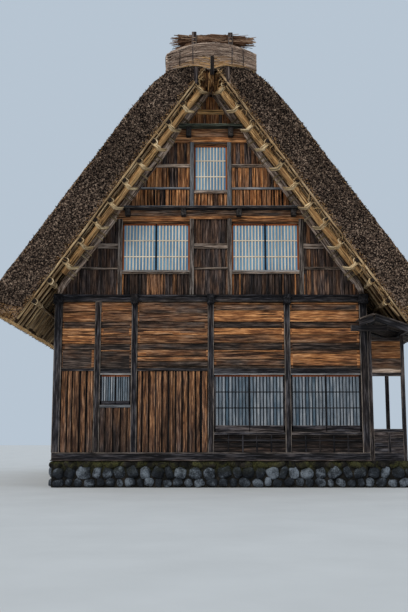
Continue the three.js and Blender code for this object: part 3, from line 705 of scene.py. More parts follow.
def eave_fringe(name, side, count):
    pile = Pile()
    for _ in range(count):
        t = dice.random()
        x, z = (a + (b - a) * t for a, b in zip(mat_end, lip))
        foot = Vector((side * x, vary(-VERGE, VERGE), z + 0.02))
        lean = Vector((side * dice.gauss(0.55, 0.25), dice.gauss(0, 0.25), -1)).normalized()
        # The fringe takes light tones: painted light from below, as on the lip.
        reed(pile, foot, foot + lean * vary(0.04, 0.10), 0.016, dice.betavariate(2.8, 1.4), end=0.0)
    hand_over(name, pile, lit_lip_straw)


for side, name in SIDES:
    slope_spikes(f"{name}_slope_spikes", side, 9000)
    eave_fringe(f"{name}_eave_fringe", side, 5000)

# %% [markdown]
# ## Roof poles under the thatch
# Under the overhang you look up at the frame that carries the thatch: purlins along the house, thin rafter poles
# down the slope, a reed mat on top of them, and straw rope at every crossing. Nothing is nailed. The path of each
# pole wanders a little so that no two lie alike. The ends are painted nearly black.

# %% Poles of each slope
dark_end, tree, shader = new_finish("dark_end_grain", 0.9)
ends_noise = speckle(tree, place_on(tree), 30.0)
paint(tree, shader, ramp(tree, ends_noise, (0.35, (0.004, 0.003, 0.003)), (0.7, (0.035, 0.024, 0.017))))
relief(tree, shader, ends_noise, 0.02)

PURLINS = [0.4655 * (i + 1) for i in range(12)]
POLE_END = 8.76               # the poles along the house end here, front and back


def on_slope(side, layer, x, y):
    return Vector((side * x, y, layer_z(layer, x)))


def darken(ends):
    for face in ends:
        face.material_index = 1


for side, name in SIDES:
    pile = Pile()
    for y in (-5.0, -2.5, 0.0, 2.5, 5.0):
        path = [on_slope(side, 0.13, -0.1 + 4.98 * i / 8, y) for i in range(9)]
        pole(pile, path, [0.10] + [0.132] * 8, 10, 0.5, 0.4, squareness=0.35, wander=0.02, face=OUT[side])
    for x in PURLINS:
        path = [on_slope(side, PURLIN_LAYER, x, -POLE_END + 2 * POLE_END * i / 10) for i in range(11)]
        thick = [0.083] + [0.058 * vary(0.9, 1.12) for _ in path[2:]] + [0.083]
        darken(pole(pile, path, thick, 9, 0.25, 0.62, wander=0.012))
    seen_rows = [facing * y for facing, _ in ENDS for y in (POLE_END, 8.27, 7.78, 7.30)]
    for y in seen_rows + [-6.95 + 0.302 * i for i in range(47)]:
        seen = y in seen_rows
        thick = vary(0.038, 0.044) if seen else vary(0.030, 0.044)
        foot = 6.13 + vary(-0.05, 0.06)
        path = [on_slope(side, POLE_LAYER, 0.16 + (foot - 0.16) * i / 6, y) for i in range(7)]
        # The rows seen from below at both ends are younger and brighter than the rest: painted light under the
        # eave.
        age = vary(0.1, 0.4 if seen else 0.7)
        shade = (0.95 if abs(y) > 8.6 else 1.7) if seen else vary(0.6, 1.0)
        darken(pole(pile, path, thick, 7, age, shade, wander=0.014))
    hand_over(f"{name}_roof_poles", pile, [bamboo, dark_end], f"{name}_roof_lattice", smooth=True)

# %% [markdown]
# A golden log of bound straw runs down the inner edge of the verge, with loose stalks on it, and thin rods lie
# between the purlins beside it. Rope goes round each purlin end, hangs from there to the log, and binds purlin
# and rafter at the wall. Each turn of rope is a thin pole on an oval path, which is cheaper than twisted strands
# and looks the same from the ground.

# %% Golden logs and straw rope
rope_finish = wood_finish(
    "straw_rope",
    [(0.15, (0.22, 0.13, 0.055)), (0.5, (0.56, 0.39, 0.20)), (0.85, (0.84, 0.67, 0.42))],
    [(0.15, (0.08, 0.05, 0.027)), (0.5, (0.28, 0.19, 0.11)), (0.85, (0.52, 0.40, 0.26))],
    knots=0.0, streak=20.0, depth=0.015)
golden_log = wood_finish(
    "golden_log",
    [(0.10, (0.14, 0.060, 0.020)), (0.5, (0.42, 0.225, 0.085)), (0.9, (0.74, 0.47, 0.21))],
    [(0.10, (0.04, 0.020, 0.009)), (0.5, (0.18, 0.098, 0.045)), (0.9, (0.40, 0.25, 0.13))],
    knots=0.03, streak=12.0, depth=0.015)
LOG_TOP, LOG_LONG, LOG_Y = 0.30, 4.42, 8.56      # both lengths measured along X
STRAW_END = 8.84                                 # no stalk reaches past this
# From a purlin's end to the log: how far in, how far down the slope, and where along the house.
SWAG = ((0.05, 0.03, 8.74), (0.15, 0.10, 8.71), (0.25, 0.125, 8.68), (0.34, 0.05, 8.58), (0.41, -0.05, 8.45),
        (0.40, -0.12, 8.30))


print("rope and log finishes ready")


# %% Turns of rope, stalks and rods
def turn_of_rope(pile, centre, across, up, half_across, half_up, thick, shade, slack=0.0):
    """One turn on a rounded rectangle, its ends tucked into each other."""
    path = []
    for i in range(13):
        a = 2 * math.pi * i / 12 + 0.3
        c, s = math.cos(a), math.sin(a)
        stretch = (abs(c) ** 3 + abs(s) ** 3) ** (-1 / 3)
        wobble = 1 + slack * math.sin(3 * a + centre.z)
        path.append(centre + across * (c * stretch * half_across) * wobble
                    + up * (s * stretch * half_up) * wobble)
    pole(pile, path, thick, 5, vary(0.1, 0.6), shade)


def straw_log(pile, side, facing):
    """The golden log and the stalks that lie along it."""
    path = [on_slope(side, 0.133, LOG_TOP + LOG_LONG * i / 14, facing * LOG_Y) for i in range(15)]
    pole(pile, path, [0.110 * vary(0.92, 1.05) for _ in path], 14, 0.1, 0.54, 0.25, 0.014, finish=1)
    for _ in range(170):
        x = vary(LOG_TOP, LOG_LONG - 0.1)
        turn = vary(0, 2 * math.pi)
        place = (OUT[side] * math.cos(turn) + Y * math.sin(turn)) * vary(0.104, 0.113)
        length = vary(0.12, 0.34)
        path = [on_slope(side, 0.135, x + length * k / 2, facing * LOG_Y) + place * vary(0.95, 1.05)
                for k in range(3)]
        straw(pile, path, vary(0.008, 0.014), dice.betavariate(1.5, 1.5), finish=2)


def loose_stalks(pile, side, facing, count, crowding):
    """Stalks that have slipped out of the verge, most of them near the ridge."""
    for _ in range(count):
        x = 0.22 + 5.5 * dice.random() ** crowding
        start = on_slope(side, vary(0.24, 0.46), x, facing * vary(8.70, 8.80))
        away = Vector((dice.gauss(0, 0.6), facing * vary(-0.1, 0.25), dice.gauss(-0.5, 0.5))).normalized()
        bend = Vector((dice.gauss(0, 0.03), 0, -0.02))
        length = vary(0.10, 0.26)
        path = [start, start + away * length * 0.5 + bend, start + away * length + bend * 0.5]
        path = [Vector((p.x, clamp(p.y, -STRAW_END, STRAW_END), p.z)) for p in path]
        straw(pile, path, vary(0.007, 0.013), dice.betavariate(1.6, 1.4), finish=2)


def thin_rods(pile, side, facing):
    for x0, x1 in zip([0.24] + PURLINS, PURLINS + [5.98]):
        start, stop = (on_slope(side, 0.305 + dice.gauss(0, 0.010), x, facing * 8.72)
                       for x in (x0 + 0.055, x1 - 0.055))
        path = [start.lerp(stop, i / 4) for i in range(5)]
        pole(pile, path, [0.024 * vary(0.8, 1.15)] * 5, 7, 0.35 + dice.gauss(0, 0.15),
             0.65 * vary(0.75, 1.1), wander=0.014)


def ropes_at(pile, side, facing, x):
    """All rope at one purlin: round its end, round the log, the swag, round two poles and at the wall."""
    out, down, along = OUT[side], DOWN[side], Y * facing
    purlin = on_slope(side, PURLIN_LAYER, x, 0)
    log_here = x < LOG_TOP + LOG_LONG
    turn_of_rope(pile, purlin - out * 0.02 + along * 8.715, out, down,
                 0.105, 0.09, vary(0.014, 0.020), vary(0.6, 1.0), 0.08)
    for shift in (0.03, 0.062, 0.095) if log_here else ():
        centre = purlin - out * 0.135 + down * (shift + dice.gauss(0, 0.006)) + along * (LOG_Y + 0.005)
        turn_of_rope(pile, centre, Y, (out + down * dice.gauss(0, 0.08)).normalized(), 0.140, 0.155,
                     vary(0.017, 0.023), vary(0.75, 1.0), 0.04)
    for k in range(4 if log_here else 0):
        shift = (k - 1.5) * 0.024
        path = [purlin - out * inward + down * (drop + shift) + along * (y - 0.012 * k)
                for inward, drop, y in SWAG]
        pole(pile, path, vary(0.014, 0.019), 6, vary(0.1, 0.45), vary(0.5, 0.8))
    for y in (7.78, 7.83, 8.20, 8.25):
        turn_of_rope(pile, purlin + along * y, out, down, 0.075, 0.075, 0.014, vary(0.4, 0.8), 0.05)
    for shift in (-0.095, -0.06, 0.07, 0.10) if x <= 5.0 else ():
        centre = on_slope(side, 0.185, x, facing * 7.55) + down * (shift + vary(-0.01, 0.01))
        turn_of_rope(pile, centre, Y, out, 0.150, 0.205, vary(0.012, 0.017),
                     vary(0.25, 0.55), 0.02)


print("one purlin end has", 1 + 3 + 4 + 4 + 4, "lengths of rope")

# %% Both verges
for facing, end_name in ENDS:
    verge_poles, ropes = Pile(), Pile()
    for side, _ in SIDES:
        straw_log(verge_poles, side, facing)
        loose_stalks(verge_poles, side, facing, *((160, 1.6) if side > 0 else (70, 3.0)))
        thin_rods(verge_poles, side, facing)
        for x in PURLINS:
            ropes_at(ropes, side, facing, x)
    hand_over(f"{end_name}_verge_poles", verge_poles, [bamboo, golden_log, loose_reeds],
              smooth=True)
    hand_over(f"{end_name}_straw_ropes", ropes, rope_finish, smooth=True)

# %% [markdown]
# ## Rafters of the gable ends
# The pair of rafters in front of the wall are whole logs, squared a little with an axe and silvered by the
# weather. Each tapers to a foot that sits on the girt, and the heads cross under the ridge pole.

# %% Gable rafters
RAFTER_FOOT = [(5.00, 6.23, 0.075), (4.955, 6.40, 0.10), (4.84, 6.62, 0.118), (4.69, 6.82, 0.128)]
RAFTER_SHAFT = [(x, layer_z(0.128, x), 0.132 - 0.001 * k)
                for k, x in enumerate([4.4 - 0.45 * i for i in range(10)] + [0.06, -0.10])]
for facing, end_name in ENDS:
    for side, name in SIDES:
        pile = Pile()
        path = [Vector((side * x, facing * (7.55 + (0.05 * side if x < 0.5 else 0)), z))
                for x, z, _ in RAFTER_FOOT + RAFTER_SHAFT]
        # The rafters are set to full brightness: partly their own silver, partly painted light against the shade
        # under the thatch.
        pole(pile, path, [thick for _, _, thick in RAFTER_FOOT + RAFTER_SHAFT], 14, 0.35, 1.15, squareness=0.5,
             wander=0.03, face=OUT[side])
        hand_over(f"{end_name}_{name}_log_rafter", pile, silver, f"{end_name}_{name}_rafter",
                  smooth=True)

# %% [markdown]
# ## Ridge
# The ridge is covered by a thick bow of long straw, laid across it and cut square at both sides. Dark ties hold
# it. The bow is a slab like the thatch, and single straws over its face break up the flat surface, because a
# picture of straw on a smooth body would show no ends at its edges.

# %% Straw bow of the ridge
BOW_END = 8.83                # half the length of the bow
arch_steps = [-BOW_HALF + 2 * BOW_HALF * i / 24 for i in range(25)]
pile = Pile()
bm = slab(pile, [(x, cap_top(x)) for x in arch_steps], [(x, cap_under(x) + 0.001) for x in arch_steps],
          BOW_END, 36, 8, 130, (0, 0, 1, 2), bowed=True)
roughen(bm, ((0.7, 0.03), (3.0, 0.03), (9.0, 0.022)), 5.0)
hand_over("ridge_bow", pile, [long_straw, cut_ends, eave_straw], "ridge_cap", smooth=True)


def end_strands(pile, facing):
    """Straws across the end face of the bow, golden in its middle, with a gap for the centre post."""
    for x0, x1 in zip(arch_steps, arch_steps[1:]):
        middle = (x0 + x1) / 2
        y0, y1 = sorted((facing * 8.60, facing * (8.72 if 0 < middle < 0.1 else BOW_END)))
        board(pile, (x0, y0, straw_edge(middle)), (x1, y1, cap_under(middle) + 0.03), "x", 0.2, 0.5)
    for _ in range(900):
        t = dice.random()
        length = vary(0.5, 1.6)
        start = vary(-1.47, 1.47 - length * 0.5)
        end = min(start + length, 1.50)
        drift = dice.gauss(0, 0.05)
        middle = (start + end) / 2
        golden = t < 0.02 + 0.46 * max(0.0, 1 - abs(middle) / 0.75) and dice.random() < 0.85
        if start < 0.13 and end > -0.05 and t < 0.52:
            start, end = (start, min(end, -0.02)) if middle < 0.04 else (max(start, 0.115), end)
        tone = vary(0.5, 0.95) if golden else dice.betavariate(2.2, 2.0)
        path = []
        for i in range(5):
            x = start + (end - start) * i / 4
            level = clamp(t + drift * (i / 4 - 0.5), 0.01, 0.99)
            path.append((x, facing * (8.845 + vary(0, 0.02)),
                         straw_edge(x) + (cap_top(x) - straw_edge(x)) * level))
        straw(pile, path, vary(0.009, 0.016), tone, 3, int(golden))


ridge_strands, ridge_ties = Pile(), Pile()
for facing, _ in ENDS:
    end_strands(ridge_strands, facing)
    for x in (-1.014, -0.585, 0.70, 1.063):
        path = [(x + vary(-0.01, 0.01), facing * 8.885,
                 straw_edge(x) + 0.05 + (cap_top(x) - straw_edge(x) - 0.05) * i / 4) for i in range(5)]
        path[-1] = (x, facing * STRAW_END, cap_top(x) + 0.02)
        pole(ridge_ties, path, 0.012, 5, 1.0, 0.45)
for _ in range(1500):
    y = vary(-8.8, 8.8)
    length = vary(0.6, 1.6)
    start = vary(-BOW_HALF, BOW_HALF - length * 0.5)
    end = min(start + length, 1.51)
    sway = dice.gauss(0, 0.12)
    path = [(x, clamp(y + sway * i, -STRAW_END, STRAW_END), cap_top(x) + 0.012)
            for i, x in enumerate([start + (end - start) * k / 4 for k in range(5)])]
    straw(ridge_strands, path, vary(0.010, 0.018), dice.betavariate(2.2, 2.0), 3)
for k in range(13):
    path = [(x, -7.2 + 1.2 * k, cap_top(x) + 0.03) for x in arch_steps[::2]]
    pole(ridge_ties, path, 0.018, 5, 0.9, 0.3)
hand_over("ridge_strands", ridge_strands, [long_straw, eave_straw])
hand_over("ridge_ties", ridge_ties, weathered)

# %% [markdown]
# On top of each end of the ridge lies a bundle of loose reeds, pinned by two stakes, whose brushy ends stick
# out. Each reed is a bent stalk of its own around a plain core, because a smooth bundle would look like a log.
# The stakes come out again under the bow, beside a centre post.

# %% Ridge pole, bundles and stakes
pile = Pile()
path = [Vector((0, -8.77 + 17.54 * i / 12, 13.824)) for i in range(13)]
darken(pole(pile, path, 0.098, 14, 0.2, 0.45, wander=0.012))
hand_over("ridge_log", pile, [silver, dark_end], "ridge_pole", smooth=True)

bundle_tones = [(0.15, (0.022, 0.010, 0.007)), (0.4, (0.13, 0.060, 0.032)), (0.62, (0.32, 0.18, 0.105)),
                (0.9, (0.56, 0.38, 0.25))]
bundle_straw = straw_finish("bundle_reeds", bundle_tones, 34.0, (0.12, 1, 1), depth=0.02)
BUNDLE_Y, BUNDLE_Z = 8.49, 14.665


def reed_bundle(pile, facing):
    core = [Vector((x, facing * BUNDLE_Y, 14.655 + 0.015 * math.cos(2 * x))) for x in (-1.1, -0.6, 0, 0.6, 1.15)]
    pole(pile, core, [0.11, 0.14, 0.14, 0.11, 0.07], 10, 0.25, 0.5, own=1.0, wander=0.02)
    for _ in range(900):
        height = vary(-1, 1)
        depth = vary(-1, 1)
        middle = vary(-0.70, 0.85)
        half = vary(0.35, 0.75)
        lift = dice.gauss(0, 0.03)
        path = []
        for i in range(4):
            x = clamp(middle + half * (2 * i / 3 - 1), -1.38, 1.515)
            thick = 0.155 - 0.055 * max(0.0, x - 0.5)
            sag = -0.10 * max(0.0, -x - 0.45) * (1.0 if height < 0.2 else 0.2)
            z = BUNDLE_Z + height * thick + lift * (i - 1.5) + sag
            if x < -0.3 and height < -0.1:
                z = max(cap_top(x) + 0.02, z - 0.25 * (-x - 0.3))
            path.append((x * -facing, facing * (BUNDLE_Y + depth * 0.19), min(z, 14.85)))
        straw(pile, path, vary(0.007, 0.012), dice.betavariate(2.0, 2.0))
    for x, top in ((-0.55 * -facing, 14.89), (0.65 * -facing, 14.86)):
        board(pile, (x - 0.078, facing * 8.725 - 0.055, cap_top(abs(x) + 0.06) + 0.02),
              (x + 0.078, facing * 8.725 + 0.055, top), "z", 0.6, 0.75, 0.02, 0.7, finish=1)
        for z in (14.52, 14.56, 14.66):
            turn_of_rope(pile, Vector((x, facing * 8.6, z)), X, Y, 0.085, 0.20, 0.012, 0.3)


def under_the_bow(pile, facing):
    """The lower ends of both stakes, the centre post, and straw that hangs in front of the dark."""
    for x in PEGS:
        place = Vector((x * -facing, facing * 8.76, 0))
        path = [place + Z * z for z in (13.72, 13.5, 13.3, 13.16, 13.07)]
        pole(pile, path, [0.086, 0.086, 0.08, 0.06, 0.03], 10, 0.3, 0.75, squareness=0.5, face=X)
    place = Vector((0.04 * -facing, facing * 8.775, 0))
    pole(pile, [place + Z * z for z in (13.36, 13.6, 13.8, 13.98)], 0.070, 10, 0.6, 0.6, squareness=0.6, face=X)
    for _ in range(160):
        x, z = dice.gauss(0, 0.13), 13.50 + vary(-0.08, 0.05)
        y = facing * vary(8.30, 8.80)
        drop = vary(0.25, 0.62)
        path = [(x, y, z), (x * 1.05 + dice.gauss(0, 0.03), y, z - drop * 0.5), (x * 0.9, y, z - drop)]
        straw(pile, path, vary(0.010, 0.020), dice.betavariate(1.2, 2.8), 5, 2)


for facing, end_name in ENDS:
    bundle, stake_ends = Pile(), Pile()
    reed_bundle(bundle, facing)
    hand_over(f"{end_name}_reed_bundle", bundle, [bundle_straw, weathered],
              f"{end_name}_ridge_bundle")
    under_the_bow(stake_ends, facing)
    hand_over(f"{end_name}_stake_ends", stake_ends, [weathered, boards, eave_straw], smooth=True)

# %% [markdown]
# ## The frame of a gable end
# Six posts stand on a heavy sill and carry a girt, and the ends of the long beams show over the posts. Hewn
# timber is never sharp: its edges are worn pale where hands and weather reach them. So each timber is a box with
# a wide, two-step bevel, and the middle line of the bevel is marked as worn.

# %% Timbers of both gable ends
POSTS = {-5.0: 0.26, -3.7: 0.20, -2.5: 0.20, 0.0: 0.20, 2.5: 0.20, 5.0: 0.26}      # place: width
BAYS = [(-4.87, -3.80), (-3.60, -2.60), (-2.40, -0.10), (0.10, 2.40), (2.60, 4.87)]
PLINTH, SILL, HEAD, RAIL = 0.832, 1.10, 3.588, 3.80      # heights: foot and top of the sill, window head, rail


def end_timbers(pile):
    for x, wide in POSTS.items():
        board(pile, (x - wide / 2, -7.5 - wide / 2, 1.085), (x + wide / 2, -7.5 + wide / 2, 6.01), "z",
              vary(0.75, 1.0), vary(0.40, 0.52) - (0.15 if x == 5.0 else 0.0), 0.032, 0.9)
        if x != -3.7:
            board(pile, (x - wide / 2 - 0.02, -7.82, 5.90), (x + wide / 2 + 0.02, -7.40, 6.225), "y",
                  1.0, 0.12, 0.02)
    board(pile, (-5.12, -7.625, PLINTH), (5.12, -7.38, SILL), "x", 0.95, 0.38, 0.03, 0.8)
    board(pile, (-5.0, -7.615, 6.0), (5.0, -7.39, 6.215), "x", 1.0, 0.30, 0.03, 0.7)
    board(pile, (-4.95, -7.66, 6.165), (4.95, -7.60, 6.225), "x", 0.9, 0.45, 0.01)
    board(pile, (-5.14, -7.665, 0.834), (5.14, -7.60, 0.872), "x", 0.5, 0.85, 0.008)


pile = Pile()
end_timbers(pile)
hand_over("front_timbers", pile, weathered, "front_frame")

# %% [markdown]
# ## Planks and boards of the front
# Above the rail each bay is closed by wide planks with set-back rails between them. The right bays are sheltered
# and keep the orange of the cedar, the left ones have gone brown and grey. A small table per bay gives each
# plank its heights, age, brightness and set-back, read from the photograph. Below the rail the two closed
# bays have upright boards of uneven width with dark gaps.

# %% Planks above the rail
BRIGHT = [(5.905, 5.985, 0.05, 0.42, 0), (5.72, 5.90, 0.75, 0.55, 0), (5.335, 5.715, 0.0, 0.80, 0),
          (5.135, 5.33, 0.95, 0.22, 0.045), (4.905, 5.13, 0.02, 0.84, 0), (4.645, 4.90, 0.35, 0.52, 0),
          (4.41, 4.64, 1.0, 0.26, 0.05), (4.335, 4.405, 0.1, 0.72, 0), (4.10, 4.33, 0.45, 0.62, 0),
          (3.885, 4.095, 0.8, 0.50, 0), (3.80, 3.88, 1.0, 0.25, 0.03)]
BRIGHT_5 = BRIGHT[:7] + [(4.30, 4.405, 0.6, 0.5, 0), (3.885, 4.295, 0.08, 0.76, 0), (3.80, 3.88, 1.0, 0.3, 0.03)]
BROWN_1 = [(5.66, 5.985, 0.42, 0.84, 0), (5.335, 5.655, 0.30, 0.80, 0), (5.13, 5.33, 0.95, 0.55, 0.02),
           (4.90, 5.125, 0.22, 0.92, 0), (4.60, 4.895, 0.28, 0.80, 0), (4.42, 4.595, 0.95, 0.50, 0.01),
           (3.80, 4.415, 1.0, 0.42, 0.02)]
BROWN_2 = [(5.70, 5.985, 0.35, 0.66, 0), (5.335, 5.695, 0.5, 0.55, 0), (5.13, 5.33, 0.95, 0.45, 0.02),
           (4.86, 5.125, 0.6, 0.55, 0), (4.60, 4.855, 0.45, 0.55, 0), (4.38, 4.595, 0.95, 0.36, 0.01),
           (3.80, 4.375, 1.0, 0.26, 0.02)]
BROWN_3 = [(5.62, 5.985, 0.72, 0.62, 0), (5.335, 5.615, 0.68, 0.56, 0), (5.13, 5.33, 0.9, 0.42, 0.025),
           (4.90, 5.125, 0.62, 0.58, 0), (4.62, 4.895, 0.50, 0.52, 0), (4.42, 4.615, 0.95, 0.40, 0.02),
           (4.20, 4.415, 0.48, 0.60, 0), (4.03, 4.195, 0.55, 0.58, 0), (3.87, 4.025, 0.9, 0.42, 0),
           (3.80, 3.865, 1.0, 0.25, 0.03)]

STRIPS_1 = [(-4.86, -3.81, 5.02, 5.10, 0.0, 0.9), (-4.7, -3.9, 4.80, 4.85, 0.1, 1.0),
            (-3.89, -3.81, 3.84, 4.40, 0.2, 0.8)]
STRIPS_2 = [(-3.5, -2.7, 4.92, 4.96, 0.0, 1.0), (-3.59, -2.62, 4.365, 4.395, 0.3, 0.9)]
STRIPS_3 = [(-1.25, -0.12, 4.90, 4.97, 0.0, 0.9), (-2.39, -0.12, 4.10, 4.15, 0.25, 0.95),
            (-2.2, -1.0, 4.98, 5.01, 0.1, 1.0), (-2.38, -2.1, 4.21, 4.32, 0.1, 0.8)]
FACE = -7.55                  # the outer face of the boards at both gable ends
print("the first bay has", len(BROWN_1), "planks, the last", len(BRIGHT_5))


# %% How a bay is closed
def planks(pile, span, rows, strips=(), front=FACE):
    """Planks from post to post, with a near-black board behind them as painted shade in the gaps, split ends, and
    pale strips nailed on.
    """
    x0, x1 = span
    for a, b, low, high, age, shade in strips:
        board(pile, (a, front - 0.012, low), (b, front + 0.05, high), "x", age, shade, 0.008, 0.6)
    # A near-black board behind the planks: painted shade in the gaps between them.
    board(pile, (x0, front + 0.09, rows[-1][0]), (x1, front + 0.104, rows[0][1]), "x", 1.0, 0.0, finish=2)
    for low, high, age, shade, back in rows:
        y = front + back + vary(-0.006, 0.006)
        board(pile, (x0, y, low + 0.009), (x1, front + 0.095, high - 0.008), "x", age, shade, 0.012, 0.45,
              fade=(vary(-0.12, 0.12), vary(-0.1, 0.1)))
        for start, way in ((x0, 1), (x1, -1)):
            if dice.random() < 0.45:
                a, b = sorted((start, start + way * vary(0.03, 0.10)))
                board(pile, (a, y - 0.003, low + 0.012), (b, front + 0.09, high - 0.011), "x",
                      max(0.0, age - 0.5), min(1.0, shade + 0.15), 0.004, 0.3)


def rail_over(pile, span, drip=True):
    """The rail at window height; over windows it has a pale drip edge."""
    board(pile, (span[0], -7.578, 3.63 if drip else 3.715), (span[1], -7.43, RAIL), "x", 1.0, 0.30, 0.012, 0.5,
          finish=2)
    if drip:
        board(pile, (span[0], -7.592, HEAD), (span[1], -7.44, 3.632), "x", 0.7, 0.62, 0.008, finish=3)


def uprights(pile, span, low, high, width, age, shade, front=FACE, gap=0.05, ragged=0.0):
    """Upright boards of uneven width before a near-black board of painted shade; some carry a pale edge, and some
    gaps a dark sliver of painted shade.
    """
    # A near-black board behind the boards: painted shade in the gaps.
    board(pile, (span[0], front + 0.075, low), (span[1], front + 0.1, high), "z", 1.0, 0.0, finish=2)
    x = span[0]
    while x < span[1] - 0.01:
        wide = width * vary(0.7, 1.3)
        if span[1] - x - wide < width * 0.5:
            wide = span[1] - x
        left = x + gap * vary(0.2, 0.6)
        y, foot = front + vary(-0.008, 0.018), low + ragged * dice.random()
        right = x + wide - gap * vary(0.2, 0.6)
        board(pile, (left, y, foot), (right, front + 0.09, high), "z", clamp(age + dice.gauss(0, 0.18), 0, 1),
              clamp(shade + dice.gauss(0, 0.17), 0, 1.1), 0.014, 0.25, finish=1,
              fade=(vary(0.25, 0.6), -vary(0.1, 0.32)))
        if dice.random() < 0.7:
            edge = x + gap * 0.4 + wide * vary(0.1, 0.6)
            board(pile, (edge, front - 0.014, low + ragged), (edge + vary(0.02, 0.05), front + 0.05, high),
                  "z", vary(0, 0.2), min(1, shade + vary(0.1, 0.4)), 0.006, 0.5, finish=1,
                  fade=(vary(0.2, 0.7), -vary(0.1, 0.4)))
        # A dark slat set back into some gaps: painted shade.
        if dice.random() < 0.4:
            board(pile, (x + wide - gap * 0.7, front + 0.04, low), (x + wide + gap * 0.2, front + 0.085, high),
                  "z", 1.0, vary(0.0, 0.2), 0.008, finish=1)
        x += wide


print("planks, rails and upright boards ready")

# %% The five bays
siding = [cedar, boards, weathered, grey_board]
for bay, rows, strips in ((0, BROWN_1, STRIPS_1), (2, BROWN_3, STRIPS_3)):
    pile = Pile()
    planks(pile, BAYS[bay], rows, strips)
    rail_over(pile, BAYS[bay], False)
    uprights(pile, BAYS[bay], SILL, 3.72, 0.205, 0.02, 0.80, gap=0.075)
    hand_over(f"front_bay_{bay + 1}_siding", pile, siding, f"front_bay_{bay + 1}_boards")
for bay, rows, strips in ((1, BROWN_2, STRIPS_2), (3, BRIGHT, ()), (4, BRIGHT_5, ())):
    pile = Pile()
    planks(pile, BAYS[bay], rows, strips)
    rail_over(pile, BAYS[bay])
    hand_over(f"front_bay_{bay + 1}_wide_planks", pile, siding, f"front_bay_{bay + 1}_planks")


# %% Low boards under the windows
def low_panel(pile, span):
    """Dark boards behind four thin posts and a rail, under the wide windows."""
    x0, x1 = span
    for low, high, shade in ((SILL, 1.255, 0.22), (1.26, 1.41, 0.06), (1.415, 1.57, 0.02), (1.575, 1.66, 0.0)):
        board(pile, (x0, -7.535, low), (x1, -7.44, high - 0.008), "x", 1.0, shade, 0.008, 0.3, finish=1)
    board(pile, (x0, -7.60, 1.655), (x1, -7.44, 1.748), "x", 0.95, 0.55, 0.014, 0.7, finish=2)
    board(pile, (x0, -7.565, 1.46), (x1, -7.53, 1.51), "x", 1.0, 0.12, 0.006, finish=2)
    for k in range(1, 5):
        x = x0 + (x1 - x0) * k / 5
        board(pile, (x - 0.025, -7.562, SILL), (x + 0.025, -7.53, 1.655), "z", 0.9, 0.2, 0.006, finish=2)


for bay in (1, 3, 4):
    pile = Pile()
    if bay == 1:
        uprights(pile, BAYS[1], SILL, 2.56, 0.20, 0.5, 0.46)
        board(pile, (BAYS[1][0], -7.585, 2.535), (BAYS[1][1], -7.44, 2.615), "x", 1.0, 0.22, 0.01, finish=3)
    else:
        low_panel(pile, BAYS[bay])
    hand_over(f"front_bay_{bay + 1}_low_siding", pile, siding, f"front_bay_{bay + 1}_low_boards")

# %% [markdown]
# ## Windows
# Each window is a frame with upright bars and thin cross bars in front of glass. The gable windows have pale new
# bars, the lower ones grey-blue slats set closer together, and the small one no cross bars. The glass is a
# separate pane, so that it keeps its own gloss. Its colour is painted: a blue reflection of the sky on the gable
# windows, and the dark of the room behind on the lower ones.

# %% Glass
def glass_finish(name, low, high, roughness, gloss):
    finish, tree, shader = new_finish(name, roughness, gloss)
    # A slow noise between two colours: the painted reflection.
    painted_reflection = speckle(tree, stretched(tree, place_on(tree), 1, 1, 0.6), 1.3, 2.0)
    paint(tree, shader, ramp(tree, painted_reflection, (0.35, low), (0.65, high)))
    shader.inputs["IOR"].default_value = 1.5
    shader.inputs["Coat Weight"].default_value = gloss * 0.4
    shader.inputs["Coat Roughness"].default_value = 0.05
    relief(tree, shader, speckle(tree, place_on(tree), 9.0), 0.002, 0.3)
    return finish


# Painted reflection of the sky for the gable windows, painted dark of the room behind for the lower ones.
painted_sky_glass = glass_finish("painted_sky_glass", (0.08, 0.20, 0.33), (0.17, 0.33, 0.47), 0.15, 0.5)
painted_dark_glass = glass_finish("painted_dark_glass", (0.003, 0.005, 0.008), (0.012, 0.020, 0.029), 0.3, 0.12)
print("glass ready")
window_woods = [cream, slate_bars, frame_red, weathered, grey_board, boards]
TURNS = ((0.0, "front"), (math.pi, "back"))      # the back is built facing the camera, then turned
RIM = 0.055                                      # width of a window's frame


